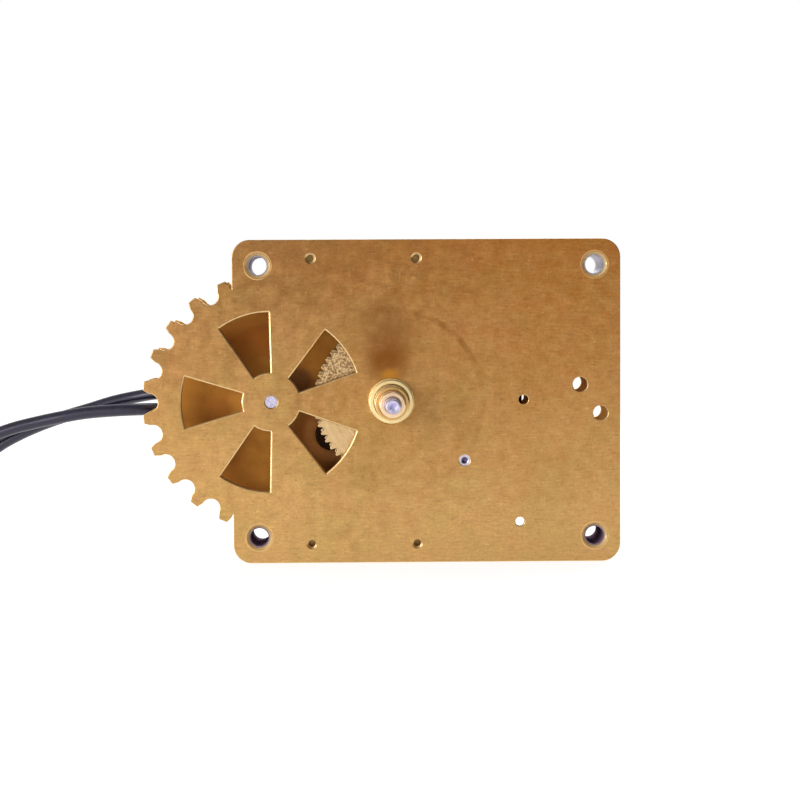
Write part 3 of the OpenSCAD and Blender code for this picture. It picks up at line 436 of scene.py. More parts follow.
# %% A finish and its colours
class Finish(Shader):
    """A new material, whose Principled shader takes values by name."""

    def __init__(self, name, metallic=0.0, **fixed):
        self.material = bpy.data.materials.new(name)
        self.material.use_nodes = True
        super().__init__(self.material.node_tree)
        self.surface = self.tree.nodes["Principled BSDF"]
        self.set(Metallic=metallic, **fixed)

    def set(self, **sockets):
        for name, value in sockets.items():
            self.feed(self.surface.inputs[name.replace("_", " ")], value)

    def relief(self, height, strength, depth):
        self.set(Normal=self.node("Bump", Height=height, Strength=strength, Distance=depth * MM)[0])

    def edges(self):
        return self.effect(EDGES, Normal=self.normal())["Edges"]

    def rings(self, centre, density):
        return self.effect(TURNING, Centre=(centre[0] * MM, 0, centre[1] * MM), Density=density)


def rgb(red, green, blue):
    """A colour as an eye sees it, 0 to 255, turned into the linear values of a shader."""
    linear = [(c / 255 / 12.92) if c <= 10 else ((c / 255 + 0.055) / 1.055) ** 2.4
              for c in (red, green, blue)]
    return (*linear, 1.0)


# %% [markdown]
# ## Brass of the plates
# Both plates are rolled brass, brushed along X. The front plate has the history that shows in the
# photograph: it is gold below and turns browner upwards, partly tarnish and partly painted shade of
# light from the lower left; a dark stain rises from the boss, with a golden glow of painted light just
# above the boss; and a faint ring of tarnish surrounds it. Round the corner holes the chamfers are
# painted pale so that they look lit all round, which is painted highlight, with thin rings of painted
# highlight and painted shade beside them. The stain and the rings are distances in the plate's own
# plane.

# %% Plate brass
def plate_brass(name, gold, brown_left, brown_right, slope, balance):
    """Brushed brass that turns from gold to brown with height, partly tarnish and partly painted
    shade.
    """
    s = Finish(name, metallic=1.0, Anisotropic=0.3)
    grain = s.effect(GRAIN, Along=150.0, Across=1300.0)
    patina = s.effect(PATINA, Cloud_size=26.0)
    x, y, z = s.axes()
    uneven = s.plus(s.times(s.minus(patina["Clouds"], 0.5), 0.45), s.minus(patina["Blotches"], 0.5))
    # The brown that comes with height is partly tarnish and partly painted shade of light from the
    # lower left.
    height = s.plus(s.plus(s.times(z, slope), balance), uneven)
    colour = s.mix(s.ramp(height, 0.0, 1.0), gold, s.mix(s.span(x, -55, 75), brown_left, brown_right))
    old = s.times(s.span(z, -10, 30, 0.35, 1.0), s.span(x, 0, 45, 1.0, 0.4))
    spots = s.times(s.ramp(s.noise(125.0, 3.0, 0.6), 0.36, 0.64, -0.09, 0.09), old)
    strokes = s.effect(GRAIN, Along=260.0, Across=950.0)["Lines"]
    shade = s.times(s.ramp(grain["Lines"], 0.3, 0.7, 0.91, 1.09),
                    s.ramp(s.noise(800.0), 0.3, 0.7, 0.92, 1.08),
                    s.plus(spots, 1.0),
                    s.ramp(strokes, 0.40, 0.28, 1.0, 1.20),
                    s.ramp(strokes, 0.59, 0.71, 1.0, 0.78),
                    s.ramp(grain["Bands"], 0.3, 0.7, 0.97, 1.03))
    grey = s.node("CombineColor", Red=shade, Green=shade, Blue=shade)[0]
    hue = s.ramp(s.noise(48.0, 4.0, 0.6), 0.36, 0.64)
    tint = s.mix(hue, (1.035, 0.98, 0.98, 1), (0.98, 1.012, 0.94, 1))
    colour = s.mix(1.0, s.mix(1.0, colour, grey, "MULTIPLY"), tint, "MULTIPLY")
    colour = s.mix(s.times(patina["Specks"], 0.3), colour, rgb(92, 58, 26))
    light = s.times(patina["Flecks"], 0.35)
    for angle in (1.45, 0.05):
        light = s.most(light, s.times(s.effect(SCRATCHES, Angle=angle)["Threads"], 0.12))
    return s, s.mix(light, colour, rgb(236, 204, 144)), grain["Lines"], patina["Clouds"]


def finish_plate(s, colour, lines, clouds, edge_colour):
    """Adds the sides, painted paler as painted light on walls that lie in shade, the rubbed edges with
    their painted highlight, the roughness and the relief of the grain.
    """
    # Painted light: the side walls of the plate and its holes, which lie in shade, are painted paler.
    side = s.ramp(s.maths("ABSOLUTE", s.axes(s.normal())[1]), 0.20, 0.05)
    colour = s.mix(s.times(side, 0.7), colour, rgb(228, 196, 142))
    # The pale edge colour is partly rubbed brass and partly painted highlight.
    edges = s.edges()
    rough = s.plus(s.ramp(lines, 0.3, 0.7, 0.37, 0.47), s.ramp(clouds, 0.3, 0.7, -0.03, 0.05))
    s.set(Base_Color=s.mix(edges, colour, edge_colour), Roughness=s.minus(rough, s.times(edges, 0.2)))
    s.relief(lines, 0.10, 0.03)
    return s.material


# %% Front plate brass, with the axes in its plane as (x, z)
HUB = (0.0, 0.0)
CORNERS = [(x, z) for x in (-61.6, 94.4) for z in (-63.0, 63.0)]


def front_plate_brass():
    s, colour, lines, clouds = plate_brass(
        "front plate brass", rgb(197, 156, 98), rgb(143, 101, 58), rgb(166, 108, 52), 7.3, 0.47)
    wisps = s.noise(110.0, 4.0)
    for x, z, wide, high, share, brown in ((-2.0, 30.0, 16.0, 23.0, 0.70, rgb(120, 78, 40)),
                                           (-2.0, 19.5, 12.0, 12.5, 0.95, rgb(122, 66, 22))):
        stain = s.span(s.distance(x, z, wide, high), 0.2, 1.15, 1.0, 0.0, True)
        stain = s.times(stain, s.ramp(wisps, 0.35, 0.6, share * 0.55, share))
        colour = s.mix(stain, colour, brown)
    # Painted light: a golden glow just above the boss.
    glow = s.span(s.distance(-0.5, 12.0, 6.5, 4.2), 0.1, 1.1, 1.0, 0.0, True)
    colour = s.mix(s.times(glow, 0.75), colour, rgb(188, 126, 40))
    from_hub = s.distance(*HUB)
    around = s.times(s.span(from_hub, 36, 43, 1.0, 0.0, True), s.ramp(wisps, 0.4, 0.62, 0.0, 0.24))
    colour = s.mix(around, colour, rgb(146, 100, 44))
    ring = s.times(s.band(from_hub, 41.8, 43.2, 1.2), s.ramp(wisps, 0.40, 0.58, 0.0, 0.6),
                   s.span(s.distance(22.0, 37.0), 14, 32, 1.0, 0.3))
    colour = s.mix(ring, colour, rgb(128, 80, 32))
    # Painted highlight and painted shade round the corner holes: the chamfer is painted pale and
    # nearly non-metallic, so it looks lit all round; of the three thin rings, the pale and the bright
    # ones are painted highlight and the dark one is painted shade.
    bevels = 0.0
    for x, z in CORNERS:
        away = s.distance(x, z)
        bevels = s.most(bevels, s.band(away, 4.85, 5.75, 0.1))
        for low, high, edge, share, mark in ((4.7, 6.2, 0.4, 0.15, rgb(206, 164, 96)),
                                             (5.6, 5.8, 0.25, 0.40, rgb(126, 84, 40)),
                                             (6.35, 6.5, 0.25, 0.55, rgb(240, 202, 140))):
            broken = s.times(s.band(away, low, high, edge),
                             s.ramp(wisps, 0.3, 0.55, share * 0.3, share))
            colour = s.mix(broken, colour, mark)
    colour = s.mix(s.times(bevels, 0.8), colour, rgb(236, 194, 126))
    s.set(Metallic=s.ramp(bevels, 0.0, 1.0, 1.0, 0.2))
    return finish_plate(s, colour, lines, clouds, rgb(232, 198, 142))


# %% [markdown]
# The back plate is seen through the windows only. Light reaches it after several bounces between brass
# and brass, so its inner face is painted a deep brown: painted shade, with the saturated colour of
# painted reflection from brass to brass. It is redder in the upper left window and has three patches
# of deeper brown. It has a lighter ring of painted highlight round the sensor, and painted light close
# to the post and again further than about 35 mm from it. It stays lighter at the open right end, where
# less of the painted brown lies. Its rear face is brushed as the front plate is.

# %% Back plate brass
POST = (-55.7, 0.0)


def back_plate_brass():
    s, colour, lines, clouds = plate_brass(
        "back plate brass", rgb(200, 154, 90), rgb(158, 112, 58), rgb(168, 112, 54), 5.0, 0.5)
    x, y, z = s.axes()
    # Painted shade: the inner face takes these deep browns.
    brown = s.mix(s.ramp(s.noise(60.0, 3.0), 0.35, 0.65), rgb(176, 116, 44), rgb(144, 84, 28))
    # Redder and deeper brown in the upper left window, as part of the painted shade.
    brown = s.mix(s.times(s.span(z, 8, 28, 0.0, 0.9), s.span(x, -46, -54)), brown, rgb(130, 66, 18))
    from_post = s.distance(*POST)
    # Painted light close to the post and further than about 35 mm from it.
    painted_light = s.most(s.span(from_post, 22, 14), s.span(from_post, 34, 42))
    brown = s.mix(s.times(painted_light, 0.36), brown, rgb(232, 164, 74))
    # Three patches of deeper brown.
    for at_x, at_z, wide, high, patch_colour in ((-38.0, -19.0, 12.0, 18.0, rgb(110, 56, 20)),
                                        (-44.0, 9.0, 8.0, 7.0, rgb(84, 46, 30)),
                                        (-23.0, -31.0, 10.0, 12.0, rgb(78, 34, 16))):
        darker_patch = s.span(s.distance(at_x, at_z, wide, high), 0.6, 1.2, 0.85, 0.0, True)
        brown = s.mix(darker_patch, brown, patch_colour)
    # Painted highlight: a lighter ring round the sensor.
    halo = s.band(s.distance(*SENSOR), 9.5, 11.5, 3.0)
    brown = s.mix(s.times(halo, 0.30), brown, rgb(206, 140, 84))
    # Less of the painted shade at the open right end.
    share = s.times(s.span(x, 45, 80, 0.85, 0.35),
                    s.span(from_post, 50, 54, 1.0, s.span(x, -62, -58)))
    colour = s.mix(s.times(s.span(y, 28.5, 28.2), share), colour, brown)
    return finish_plate(s, colour, lines, clouds, rgb(226, 190, 128))


# %% [markdown]
# ## Turned and milled brass
# The wheels, pinions, bushes and sleeves are cut from brighter, harder brass. They carry the rings of
# the lathe, their edges are paler, partly polished brass and partly painted highlight, and they have
# little patina because they sit inside the movement. Brown spots on the upper part of some of them are
# painted shade.

# %% Turned brass
def turned_brass(name, bright, deep, centre, roughness, density=1100.0, painted_shade_above=0.0):
    """The last argument is the share of brown spots above the centre: painted shade on the upper part.
    """
    s = Finish(name, metallic=1.0)
    rings = s.rings(centre, density)["Rings"]
    patina = s.effect(PATINA, Cloud_size=60.0, Speck_size=700.0)
    dull = s.plus(s.ramp(rings, 0.3, 0.7, 0.0, 0.5), s.ramp(patina["Blotches"], 0.35, 0.7, 0.0, 0.4))
    colour = s.mix(s.times(patina["Specks"], 0.3), s.mix(dull, bright, deep), rgb(90, 58, 26))
    if painted_shade_above:
        # Painted shade: brown spots on the upper part.
        spots = s.ramp(s.noise(1300.0, 3.0, distortion=0.6), 0.46, 0.56)
        above = s.times(spots, s.span(s.axes()[2], 0, 9, 0.0, painted_shade_above))
        colour = s.mix(above, colour, rgb(104, 66, 38))
    # The pale edge colour is partly polished brass and partly painted highlight.
    edges = s.edges()
    rough = s.ramp(rings, 0.3, 0.7, roughness - 0.04, roughness + 0.06)
    s.set(Base_Color=s.mix(s.times(edges, 0.8), colour, rgb(248, 222, 168)),
          Roughness=s.minus(rough, s.times(edges, roughness * 0.1)))
    s.relief(rings, 0.10, 0.05)
    return s.material


# %% [markdown]
# ## Steel
# Arbors and the centre post are ground steel, the nuts and screws are plated. Both are cool
# grey with a slight lavender cast. Fine rings follow the axis of each arbor, and the plated
# pieces are a little cloudy.

# %% Steel
def ground_steel(name, light, dark, centre, roughness, core=None):
    """Core is (radius in mm, colour) of the cone that a lathe's centre left in the end; its colour is
    partly the dull cone and partly painted shade in it.
    """
    s = Finish(name, metallic=1.0)
    turning = s.rings(centre, 2600.0)
    patina = s.effect(PATINA, Cloud_size=120.0, Speck_size=900.0)
    colour = s.mix(s.ramp(patina["Blotches"], 0.3, 0.7), light, dark)
    colour = s.mix(s.times(patina["Specks"], 0.3), colour, rgb(70, 62, 60))
    if core:
        radius, dull = core
        # Painted shade: the cone in the end is painted darker.
        colour = s.mix(s.span(turning["Radius"], radius + 0.1, radius - 0.1), colour, dull)
    rough = s.ramp(turning["Rings"], 0.3, 0.7, roughness - 0.05, roughness + 0.05)
    s.set(Base_Color=colour, Roughness=s.plus(rough, s.ramp(patina["Clouds"], 0.3, 0.7, -0.02, 0.06)))
    s.relief(turning["Rings"], 0.08, 0.03)
    return s.material


# %% [markdown]
# The corner sleeves are plated outside, but a drill left their bores rough, and the bores are painted
# dark, dull and without reflection: painted shade in a deep recess. The four sleeves stand at the
# corners of a rectangle. Folding the place twice, about the middle of the rectangle, brings all four
# axes to one point, so that one distance serves. The painted shade is strongest in the lower two, less
# in the upper left and least in the upper right.

# %% Steel of the sleeves
def sleeve_steel(name, light, dark, bore, bore_r):
    s = Finish(name, metallic=1.0, Specular_IOR_Level=0.0)
    patina = s.effect(PATINA, Cloud_size=120.0, Speck_size=900.0)
    x, y, z = s.axes()
    (left, top), (right, top) = CORNERS[1], CORNERS[3]
    from_middle = s.maths("ABSOLUTE", s.minus(x, (left + right) / 2 * MM))
    folded_x = s.minus(from_middle, (right - left) / 2 * MM)
    folded_z = s.minus(s.maths("ABSOLUTE", z), top * MM)
    radius = s.vector("LENGTH", s.node("CombineXYZ", X=folded_x, Z=folded_z)[0])["Value"]
    # Painted shade in the bores: strongest in the lower two sleeves.
    darker = s.most(s.span(z, 10, -10), s.span(x, -20, 20, 0.5, 0.2))
    inside = s.times(s.span(radius, bore_r + 0.5, bore_r + 0.2), darker)
    colour = s.mix(s.ramp(patina["Blotches"], 0.3, 0.7), light, dark)
    rough = s.plus(s.ramp(patina["Clouds"], 0.3, 0.7, 0.28, 0.36), s.times(inside, 0.22))
    s.set(Base_Color=s.mix(inside, colour, bore), Roughness=rough,
          Metallic=s.ramp(inside, 0.0, 1.0, 1.0, 0.0))
    s.relief(patina["Blotches"], 0.08, 0.03)
    return s.material


# %% [markdown]
# ## Castings, plastics and rubber
# A gearbox housing is cast: its skin has a fine orange-peel texture. The can is drawn from
# sheet and has a satin shine. The cables have a smooth PVC sheath, nearly black with a blue
# cast, whose gloss is broken by a slight waviness and by dust. Moulded parts have a fine
# spark-eroded grain, and rubber is the dullest of them.

# %% Cast and moulded parts
def cast_metal(name, light, dark, roughness, texture):
    s = Finish(name, metallic=1.0)
    skin = s.noise(texture, 3.0, 0.6)
    patina = s.effect(PATINA, Cloud_size=35.0, Speck_size=500.0)
    colour = s.mix(s.ramp(patina["Clouds"], 0.3, 0.7), light, dark)
    s.set(Base_Color=s.mix(s.times(patina["Specks"], 0.3), colour, rgb(84, 82, 80)),
          Roughness=s.ramp(skin, 0.3, 0.7, roughness - 0.06, roughness + 0.08))
    s.relief(skin, 0.25, 0.05)
    return s.material


def moulded(name, clean, dulled, roughness, texture, relief, **fixed):
    s = Finish(name, **fixed)
    skin = s.noise(texture, 3.0, 0.6)
    dust = s.ramp(s.effect(PATINA, Cloud_size=45.0, Speck_size=600.0)["Blotches"], 0.4, 0.75)
    rough = s.ramp(skin, 0.3, 0.7, roughness - 0.05, roughness + 0.06)
    s.set(Base_Color=s.mix(dust, clean, dulled), Roughness=s.plus(rough, s.times(dust, 0.10)))
    s.relief(skin, relief, 0.05)
    return s.material


# %% Finishes of the parts
MOTION = (33.95, -27.59)
pale_brass = rgb(226, 202, 158), rgb(194, 160, 108)
warm_brass = rgb(222, 180, 112), rgb(176, 126, 62)
steel = rgb(222, 214, 236), rgb(176, 168, 190)
plated = rgb(196, 192, 202), rgb(150, 146, 154)

materials = (
    front_plate_brass(),
    back_plate_brass(),
    # The hour wheel's brown spots on its upper part are painted shade.
    turned_brass("hour wheel brass", rgb(224, 192, 144), rgb(196, 158, 106), HUB, 0.34, 700.0,
                 painted_shade_above=0.75),
    turned_brass("centre wheel brass", *pale_brass, HUB, 0.34),
    turned_brass("minute wheel brass", *pale_brass, MOTION, 0.34),
    turned_brass("cannon pinion brass", *warm_brass, HUB, 0.30),
    turned_brass("hour pinion brass", *warm_brass, MOTION, 0.30),
    # The boss is paler than brass is: its colour is partly painted highlight.
    turned_brass("boss brass", rgb(255, 236, 182), rgb(238, 206, 140), HUB, 0.38, 1600.0),
    turned_brass("hour pipe brass", rgb(222, 184, 118), rgb(184, 140, 76), HUB, 0.31, 1600.0),
    # The minute sleeve is paler than brass is: its colour is partly painted highlight.
    turned_brass("minute sleeve brass", rgb(252, 222, 188), rgb(230, 190, 146), HUB, 0.28, 1600.0),
    turned_brass("bush brass", *warm_brass, HUB, 0.32),
    turned_brass("pillar brass", *warm_brass, POST, 0.34),
    # Thread brass is painted paler, as painted light in the narrow tapped holes; the upper ones take
    # brown spots of painted shade.
    turned_brass("thread brass", rgb(238, 196, 146), rgb(196, 150, 104), POST, 0.34, painted_shade_above=0.95),
    # The colours of the cones in the arbors' ends are partly painted shade.
    ground_steel("arbor steel", *steel, HUB, 0.30, (1.6, rgb(170, 165, 206))),
    ground_steel("motion steel", rgb(236, 226, 234), steel[1], MOTION, 0.28, (1.55, rgb(96, 88, 116))),
    ground_steel("motor steel", *steel, MOTOR, 0.26),
    ground_steel("post steel", *steel, POST, 0.30),
    ground_steel("plated steel", *plated, HUB, 0.30),
    sleeve_steel("sleeve steel", *plated, rgb(146, 118, 138), 4.2),
    ground_steel("spring steel", rgb(178, 168, 146), rgb(120, 108, 88), HUB, 0.34),
    ground_steel("magnet plating", rgb(150, 150, 156), rgb(112, 112, 118), HUB, 0.30),
    cast_metal("cast housing", rgb(176, 176, 180), rgb(150, 150, 156), 0.46, 1800.0),
    cast_metal("drawn can", rgb(202, 202, 206), rgb(178, 178, 184), 0.32, 500.0),
    moulded("grommet rubber", rgb(30, 30, 32), rgb(52, 51, 52), 0.72, 1600.0, 0.3),
    moulded("sensor plastic", rgb(26, 13, 9), rgb(42, 24, 16), 0.62, 2400.0, 0.2,
            Specular_Tint=(0.75, 0.36, 0.24, 1.0)),
    moulded("saddle plastic", rgb(34, 34, 37), rgb(56, 55, 58), 0.52, 2600.0, 0.3),
    moulded("tie plastic", rgb(30, 30, 33), rgb(50, 49, 52), 0.40, 900.0, 0.2),
    moulded("cable sheath", rgb(16, 15, 30), rgb(36, 34, 56), 0.32, 260.0, 0.12,
            Coat_Weight=0.45, Coat_Roughness=0.18, Specular_Tint=(0.86, 0.78, 1.0, 1.0)),
    moulded("connector nylon", rgb(222, 219, 208), rgb(196, 190, 174), 0.42, 1500.0, 0.15),
    ground_steel("contact brass", rgb(222, 190, 120), rgb(190, 150, 84), HUB, 0.25),
)
finishes = {material.name: material for material in materials}
print(len(finishes), "finishes")

# %% [markdown]
# ## Softened edges
# No real edge is a perfect line: plates are deburred, teeth are brushed and plastic has a
# radius. A copy of a node's mesh is merged, its flat faces are joined again, and a small
# bevel is applied. The copy then stands for the node. Bevels catch the light and draw the
# outline of each piece, as they do in the photograph. Where some edges are broken more than
# others, each sharp edge gets a share of the bevel's width by its place. A plate is a face
# with many holes, which a mesh can't hold in one polygon: it is cut along lines through the
# holes first, so that every polygon is simple and the bevel leaves no sliver.

# %% Tools for meshes
def only(piece):
    """Selects one object and makes it active."""
    bpy.ops.object.select_all(action="DESELECT")
    bpy.context.view_layer.objects.active = piece
    piece.select_set(True)


def edit(kind, action="SELECT"):
    """Opens edit mode on the active object, with all of one kind of element selected, or none."""
    bpy.ops.object.mode_set(mode="EDIT")
    bpy.ops.mesh.select_mode(type=kind)
    bpy.ops.mesh.select_all(action=action)


def leave(smooth_angle=None):
    bpy.ops.object.mode_set(mode="OBJECT")
    if smooth_angle:
        bpy.ops.object.shade_smooth_by_angle(angle=math.radians(smooth_angle))


def pick(piece, kind, test):
    """Edit mode with only those faces or edges selected that pass a test."""
    edit(kind, "DESELECT")
    leave()
    for element in piece.data.polygons if kind == "FACE" else piece.data.edges:
        element.select = test(element)
    bpy.ops.object.mode_set(mode="EDIT")


def push(x, y, z):
    bpy.ops.mesh.extrude_region_move(TRANSFORM_OT_translate={"value": (x * MM, y * MM, z * MM)})


def apply_place():
    bpy.ops.object.transform_apply(location=True, rotation=True, scale=True)


def apply_modifier(piece, label, kind, **settings):
    only(piece)
    modifier = piece.modifiers.new(label, kind)
    for name, value in settings.items():
        setattr(modifier, name, value)
    bpy.ops.object.modifier_apply(modifier=modifier.name)


def round_edges(piece, width):
    apply_modifier(piece, "rounded", "BEVEL", width=width * MM, segments=2, limit_method="ANGLE")


def dress(piece, finish, body="frame"):
    piece.data.materials.clear()
    piece.data.materials.append(finishes[finish])
    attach(piece, body)


# %% Softened copy of a node
def soften(node, width, finish, slot, segments=2, share=None, cuts=()):
    source = nodes[node]
    sharp = math.radians(30.0)
    piece = bpy.data.objects.new(node + "_dressed", source.data.copy())
    bpy.context.scene.collection.objects.link(piece)
    only(piece)
    edit("EDGE")
    bpy.ops.mesh.remove_doubles(threshold=0.002 * MM)
    for x in cuts:
        bpy.ops.mesh.select_all(action="SELECT")
        bpy.ops.mesh.bisect(plane_co=(x * MM, 0, 0), plane_no=(1, 0, 0))
        bpy.ops.mesh.mark_seam(clear=False)
    bpy.ops.mesh.select_all(action="SELECT")
    bpy.ops.mesh.dissolve_limited(angle_limit=math.radians(0.6), delimit={"SEAM"})
    bpy.ops.mesh.customdata_custom_splitnormals_clear()
    bpy.ops.mesh.select_all(action="DESELECT")
    bpy.ops.mesh.edges_select_sharp(sharpness=sharp)
    leave()
    if share:
        weights = piece.data.attributes.new("bevel_weight_edge", "FLOAT", "EDGE")
        for edge in piece.data.edges:
            if edge.select:
                ends = [piece.data.vertices[k].co / MM for k in edge.vertices]
                weights.data[edge.index].value = share(*ends)
    apply_modifier(piece, "broken edges", "BEVEL", width=width * MM, segments=segments,
                   limit_method="WEIGHT" if share else "ANGLE", angle_limit=sharp,
                   miter_outer="MITER_ARC", use_clamp_overlap=not share)
    bpy.ops.object.shade_smooth_by_angle(angle=math.radians(50.0))
    apply_modifier(piece, "flat faces stay flat", "WEIGHTED_NORMAL", keep_sharp=True)
    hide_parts(node)
    dress(piece, finish, source["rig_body"])
    print(node, "has", len(piece.data.polygons), "faces")
    return piece


# %% The plates
TAPPED = [(x, z) for x in (-37.3, 11.8) for z in (-66.3, 66.3)]


def near(point, centres, reach):
    return any(math.hypot(point.x - x, point.z - z) < reach for x, z in centres)


def plate_share(face_y):
    """The outer face's edges are broken most, tapped holes are countersunk, sleeve seats hardly."""
    def share(a, b):
        if max(abs(a.y - face_y), abs(b.y - face_y)) > 0.02:
            return 0.3
        if near(a, TAPPED, 3.0):
            return 1.0 if a.z > 0 else 0.55
        return 0.10 if near(a, CORNERS, 6.0) else 0.60
    return share


HOLE_LINES = (-90.0, -83.7, -61.6, -54.5, -47.7, -37.3, -28.3, -12.8, 0.0, 11.8, 22.2, 33.95,
              60.5, 87.7, 94.4, 98.5)
for node, width, finish, outer_y in (("front_plate", 0.60, "front plate brass", 0.0),
                                     ("back_plate", 0.45, "back plate brass", 31.0)):
    soften(node, width, finish, "plate_brass", 3, plate_share(outer_y), HOLE_LINES)

# %% The other softened parts
SOFTENED = (
    ("hour_wheel", 0.12, "hour wheel brass", "wheel_brass"),
    ("centre_wheel", 0.12, "centre wheel brass", "wheel_brass"),
    ("minute_wheel", 0.12, "minute wheel brass", "wheel_brass"),
    ("cannon_pinion", 0.10, "cannon pinion brass", "turned_brass"),
    ("hour_pinion", 0.10, "hour pinion brass", "turned_brass"),
    ("front_bush", 0.10, "boss brass", "turned_brass"),
    ("hour_pipe", 0.12, "hour pipe brass", "turned_brass"),
    ("minute_sleeve", 0.12, "minute sleeve brass", "turned_brass"),
    ("centre_arbor", 0.12, "arbor steel", "arbor_steel"),
    ("motion_arbor", 0.12, "motion steel", "arbor_steel"),
    ("centre_post", 0.12, "post steel", "arbor_steel"),
    ("motor_pinion", 0.10, "motor steel", "arbor_steel"),
    ("motor_gearbox", 0.35, "cast housing", "gearbox_zinc"),
    ("sensor_body", 0.30, "sensor plastic", "sensor_plastic"),
    ("saddle_base", 0.50, "saddle plastic", "saddle_plastic"),
    ("saddle_cap", 0.80, "saddle plastic", "saddle_plastic"),
    ("motor_plug", 0.35, "connector nylon", "connector_plastic"),
    ("sensor_plug", 0.35, "connector nylon", "connector_plastic"),
)
softened = {row[0]: soften(*row) for row in SOFTENED}

# %% [markdown]
# ## Centre drillings
# An arbor is turned between centres, so each end has a small cone where the lathe's centre
# sat. It shows as a dull dot in a bright ring. The end face is selected by its place, inset
# to the cone's mouth, then extruded inwards and shrunk to a tenth. Edit mode rebuilds the
# mesh, so the faces are kept by their numbers while it is switched.

# %% Centre drillings
def centre_drill(piece, mouth, depth):
    mesh = piece.data
    front = min(vertex.co.y for vertex in mesh.vertices)
    ends = [f for f in mesh.polygons if f.normal.y < -0.99 and abs(f.center.y - front) < 0.02 * MM]
    centre = sum((face.center for face in ends), Vector()) / len(ends)
    reach = max((mesh.vertices[k].co - centre).length for face in ends for k in face.vertices)
    numbers = [face.index for face in ends]
    only(piece)
    pick(piece, "FACE", lambda face: face.index in numbers)
    bpy.ops.mesh.inset(thickness=reach - mouth * MM)
    push(0, depth, 0)
    tip = centre + Vector((0, depth * MM, 0))
    bpy.ops.transform.resize(value=(0.1, 1, 0.1), center_override=tip)
    leave(40.0)
    print(piece.name, "has a cone of", mouth, "mm in an end of", round(reach / MM, 2), "mm")


for node, mouth, depth in (("centre_arbor", 1.6, 0.3), ("motion_arbor", 1.5, 1.3)):
    centre_drill(softened[node], mouth, depth)

# %% [markdown]
# ## Threads
# The dial's screws go into tapped pillars behind four holes of the front plate, and nuts sit
# on threads at the rear of the corner sleeves. A thread is a ridge that climbs round an axis.
# Its profile is a circle of three vertices, which the Screw modifier sweeps, and its ends are
# capped. It is made once on the Y axis, and each copy's mesh is then moved to its place.

# %% Threads
def thread(name, wall_r, ridge, pitch, turns, way):
    """A helical ridge along Y from the origin. Way is 1 on a hole's wall, -1 on a rod."""
    bpy.ops.object.select_all(action="DESELECT")
    bpy.ops.mesh.primitive_circle_add(
        vertices=3, radius=ridge * MM, location=((wall_r - way * ridge * 0.4) * MM, 0, 0),
        rotation=(0, 0, way * math.pi / 2))
    piece = bpy.context.object
    piece.name = name
    apply_place()
    apply_modifier(piece, "helix", "SCREW", axis="Y", angle=2 * math.pi, screw_offset=pitch * MM,
                   iterations=turns, steps=28, render_steps=28, use_smooth_shade=True)
    edit("VERT")
    bpy.ops.mesh.remove_doubles(threshold=0.001 * MM)
    bpy.ops.mesh.fill_holes(sides=3)
    bpy.ops.mesh.select_all(action="SELECT")
    bpy.ops.mesh.normals_make_consistent(inside=False)
    leave(35.0)
    return piece


def repeat(pattern, places, finish, names=None, turns=None):
    """Copies of one piece at places in mm, each with its own mesh; the pattern takes the last."""
    names = names or [f"{pattern.name}_{number + 1}" for number in range(len(places))]
    pieces = [bpy.data.objects.new(name, pattern.data.copy()) for name in names[:-1]]
    for piece in pieces:
        bpy.context.scene.collection.objects.link(piece)
    pattern.name = names[-1]
    pieces.append(pattern)
    for piece, place, turn in zip(pieces, places, turns or [0] * len(places)):
        piece.location = Vector(place) * MM
        piece.rotation_euler = (0, math.radians(turn), 0)
        only(piece)
        apply_place()
        dress(piece, finish)
    print(len(pieces), "pieces:", names[0], "to", names[-1])
    return pieces


DIAL_THREAD_Y, SLEEVE_THREAD_Y = 1.6, 31.3
dial_thread = thread("dial_thread", 2.12, 0.26, 0.8, 9, 1)
repeat(dial_thread, [(x, DIAL_THREAD_Y, z) for x, z in TAPPED], "thread brass")
sleeve_thread = thread("sleeve_thread", 5.48, 0.20, 0.75, 5, -1)
repeat(sleeve_thread, [(x, SLEEVE_THREAD_Y, z) for x, z in CORNERS], "plated steel")

# %% [markdown]
# ## Small turned and moulded pieces
# The sensor's cable leaves through a ribbed boot, which stops it from kinking. A boot, a
# bearing cup and a similar round piece all start as one circle, which is extruded and scaled
# step by step along its axis, as a potter pulls a wall. The steps are pairs of distance and
# radius.

# %% Round pieces by extrusion
def pull_round(name, start, way, steps, sides=40):
    """A closed round piece: steps are (distance along way, radius) in mm."""
    bpy.ops.object.select_all(action="DESELECT")
    turn = Vector(way).to_track_quat("Z", "Y").to_euler()
    bpy.ops.mesh.primitive_circle_add(vertices=sides, radius=steps[0][1] * MM, fill_type="NGON",
                                      location=Vector(start) * MM, rotation=turn)
    piece = bpy.context.object
    piece.name = name
    apply_place()
    edit("FACE")
    for (x_before, r_before), (x_now, r_now) in zip(steps, steps[1:]):
        push(*Vector(way) * (x_now - x_before))
        size = r_now / r_before
        middle = (Vector(start) + Vector(way) * (x_now - steps[0][0])) * MM
        bpy.ops.transform.resize(value=(size, size, size), center_override=middle)
    bpy.ops.mesh.select_all(action="SELECT")
    bpy.ops.mesh.normals_make_consistent(inside=False)
    leave(40.0)
    return piece


RIBS, RIB_PITCH, CREST_R, VALLEY_R = 4, 1.9, 4.5, 3.9
boot_steps = [(0, 4.3), (0.4, CREST_R)]
for rib in range(RIBS):
    at, crest, valley = 1.0 + RIB_PITCH * rib, CREST_R - 0.12 * rib, VALLEY_R - 0.05 * rib
    boot_steps += [(at, crest), (at + 0.3, valley), (at + 0.9, valley), (at + 1.2, crest - 0.1)]
boot_steps += [(8.6, 4.0), (9.0, 3.6)]
boot = pull_round("sensor_boot", sensor_start + Vector((0.3, 0, 0)), (-1, 0, 0), boot_steps)
dress(boot, "grommet rubber")

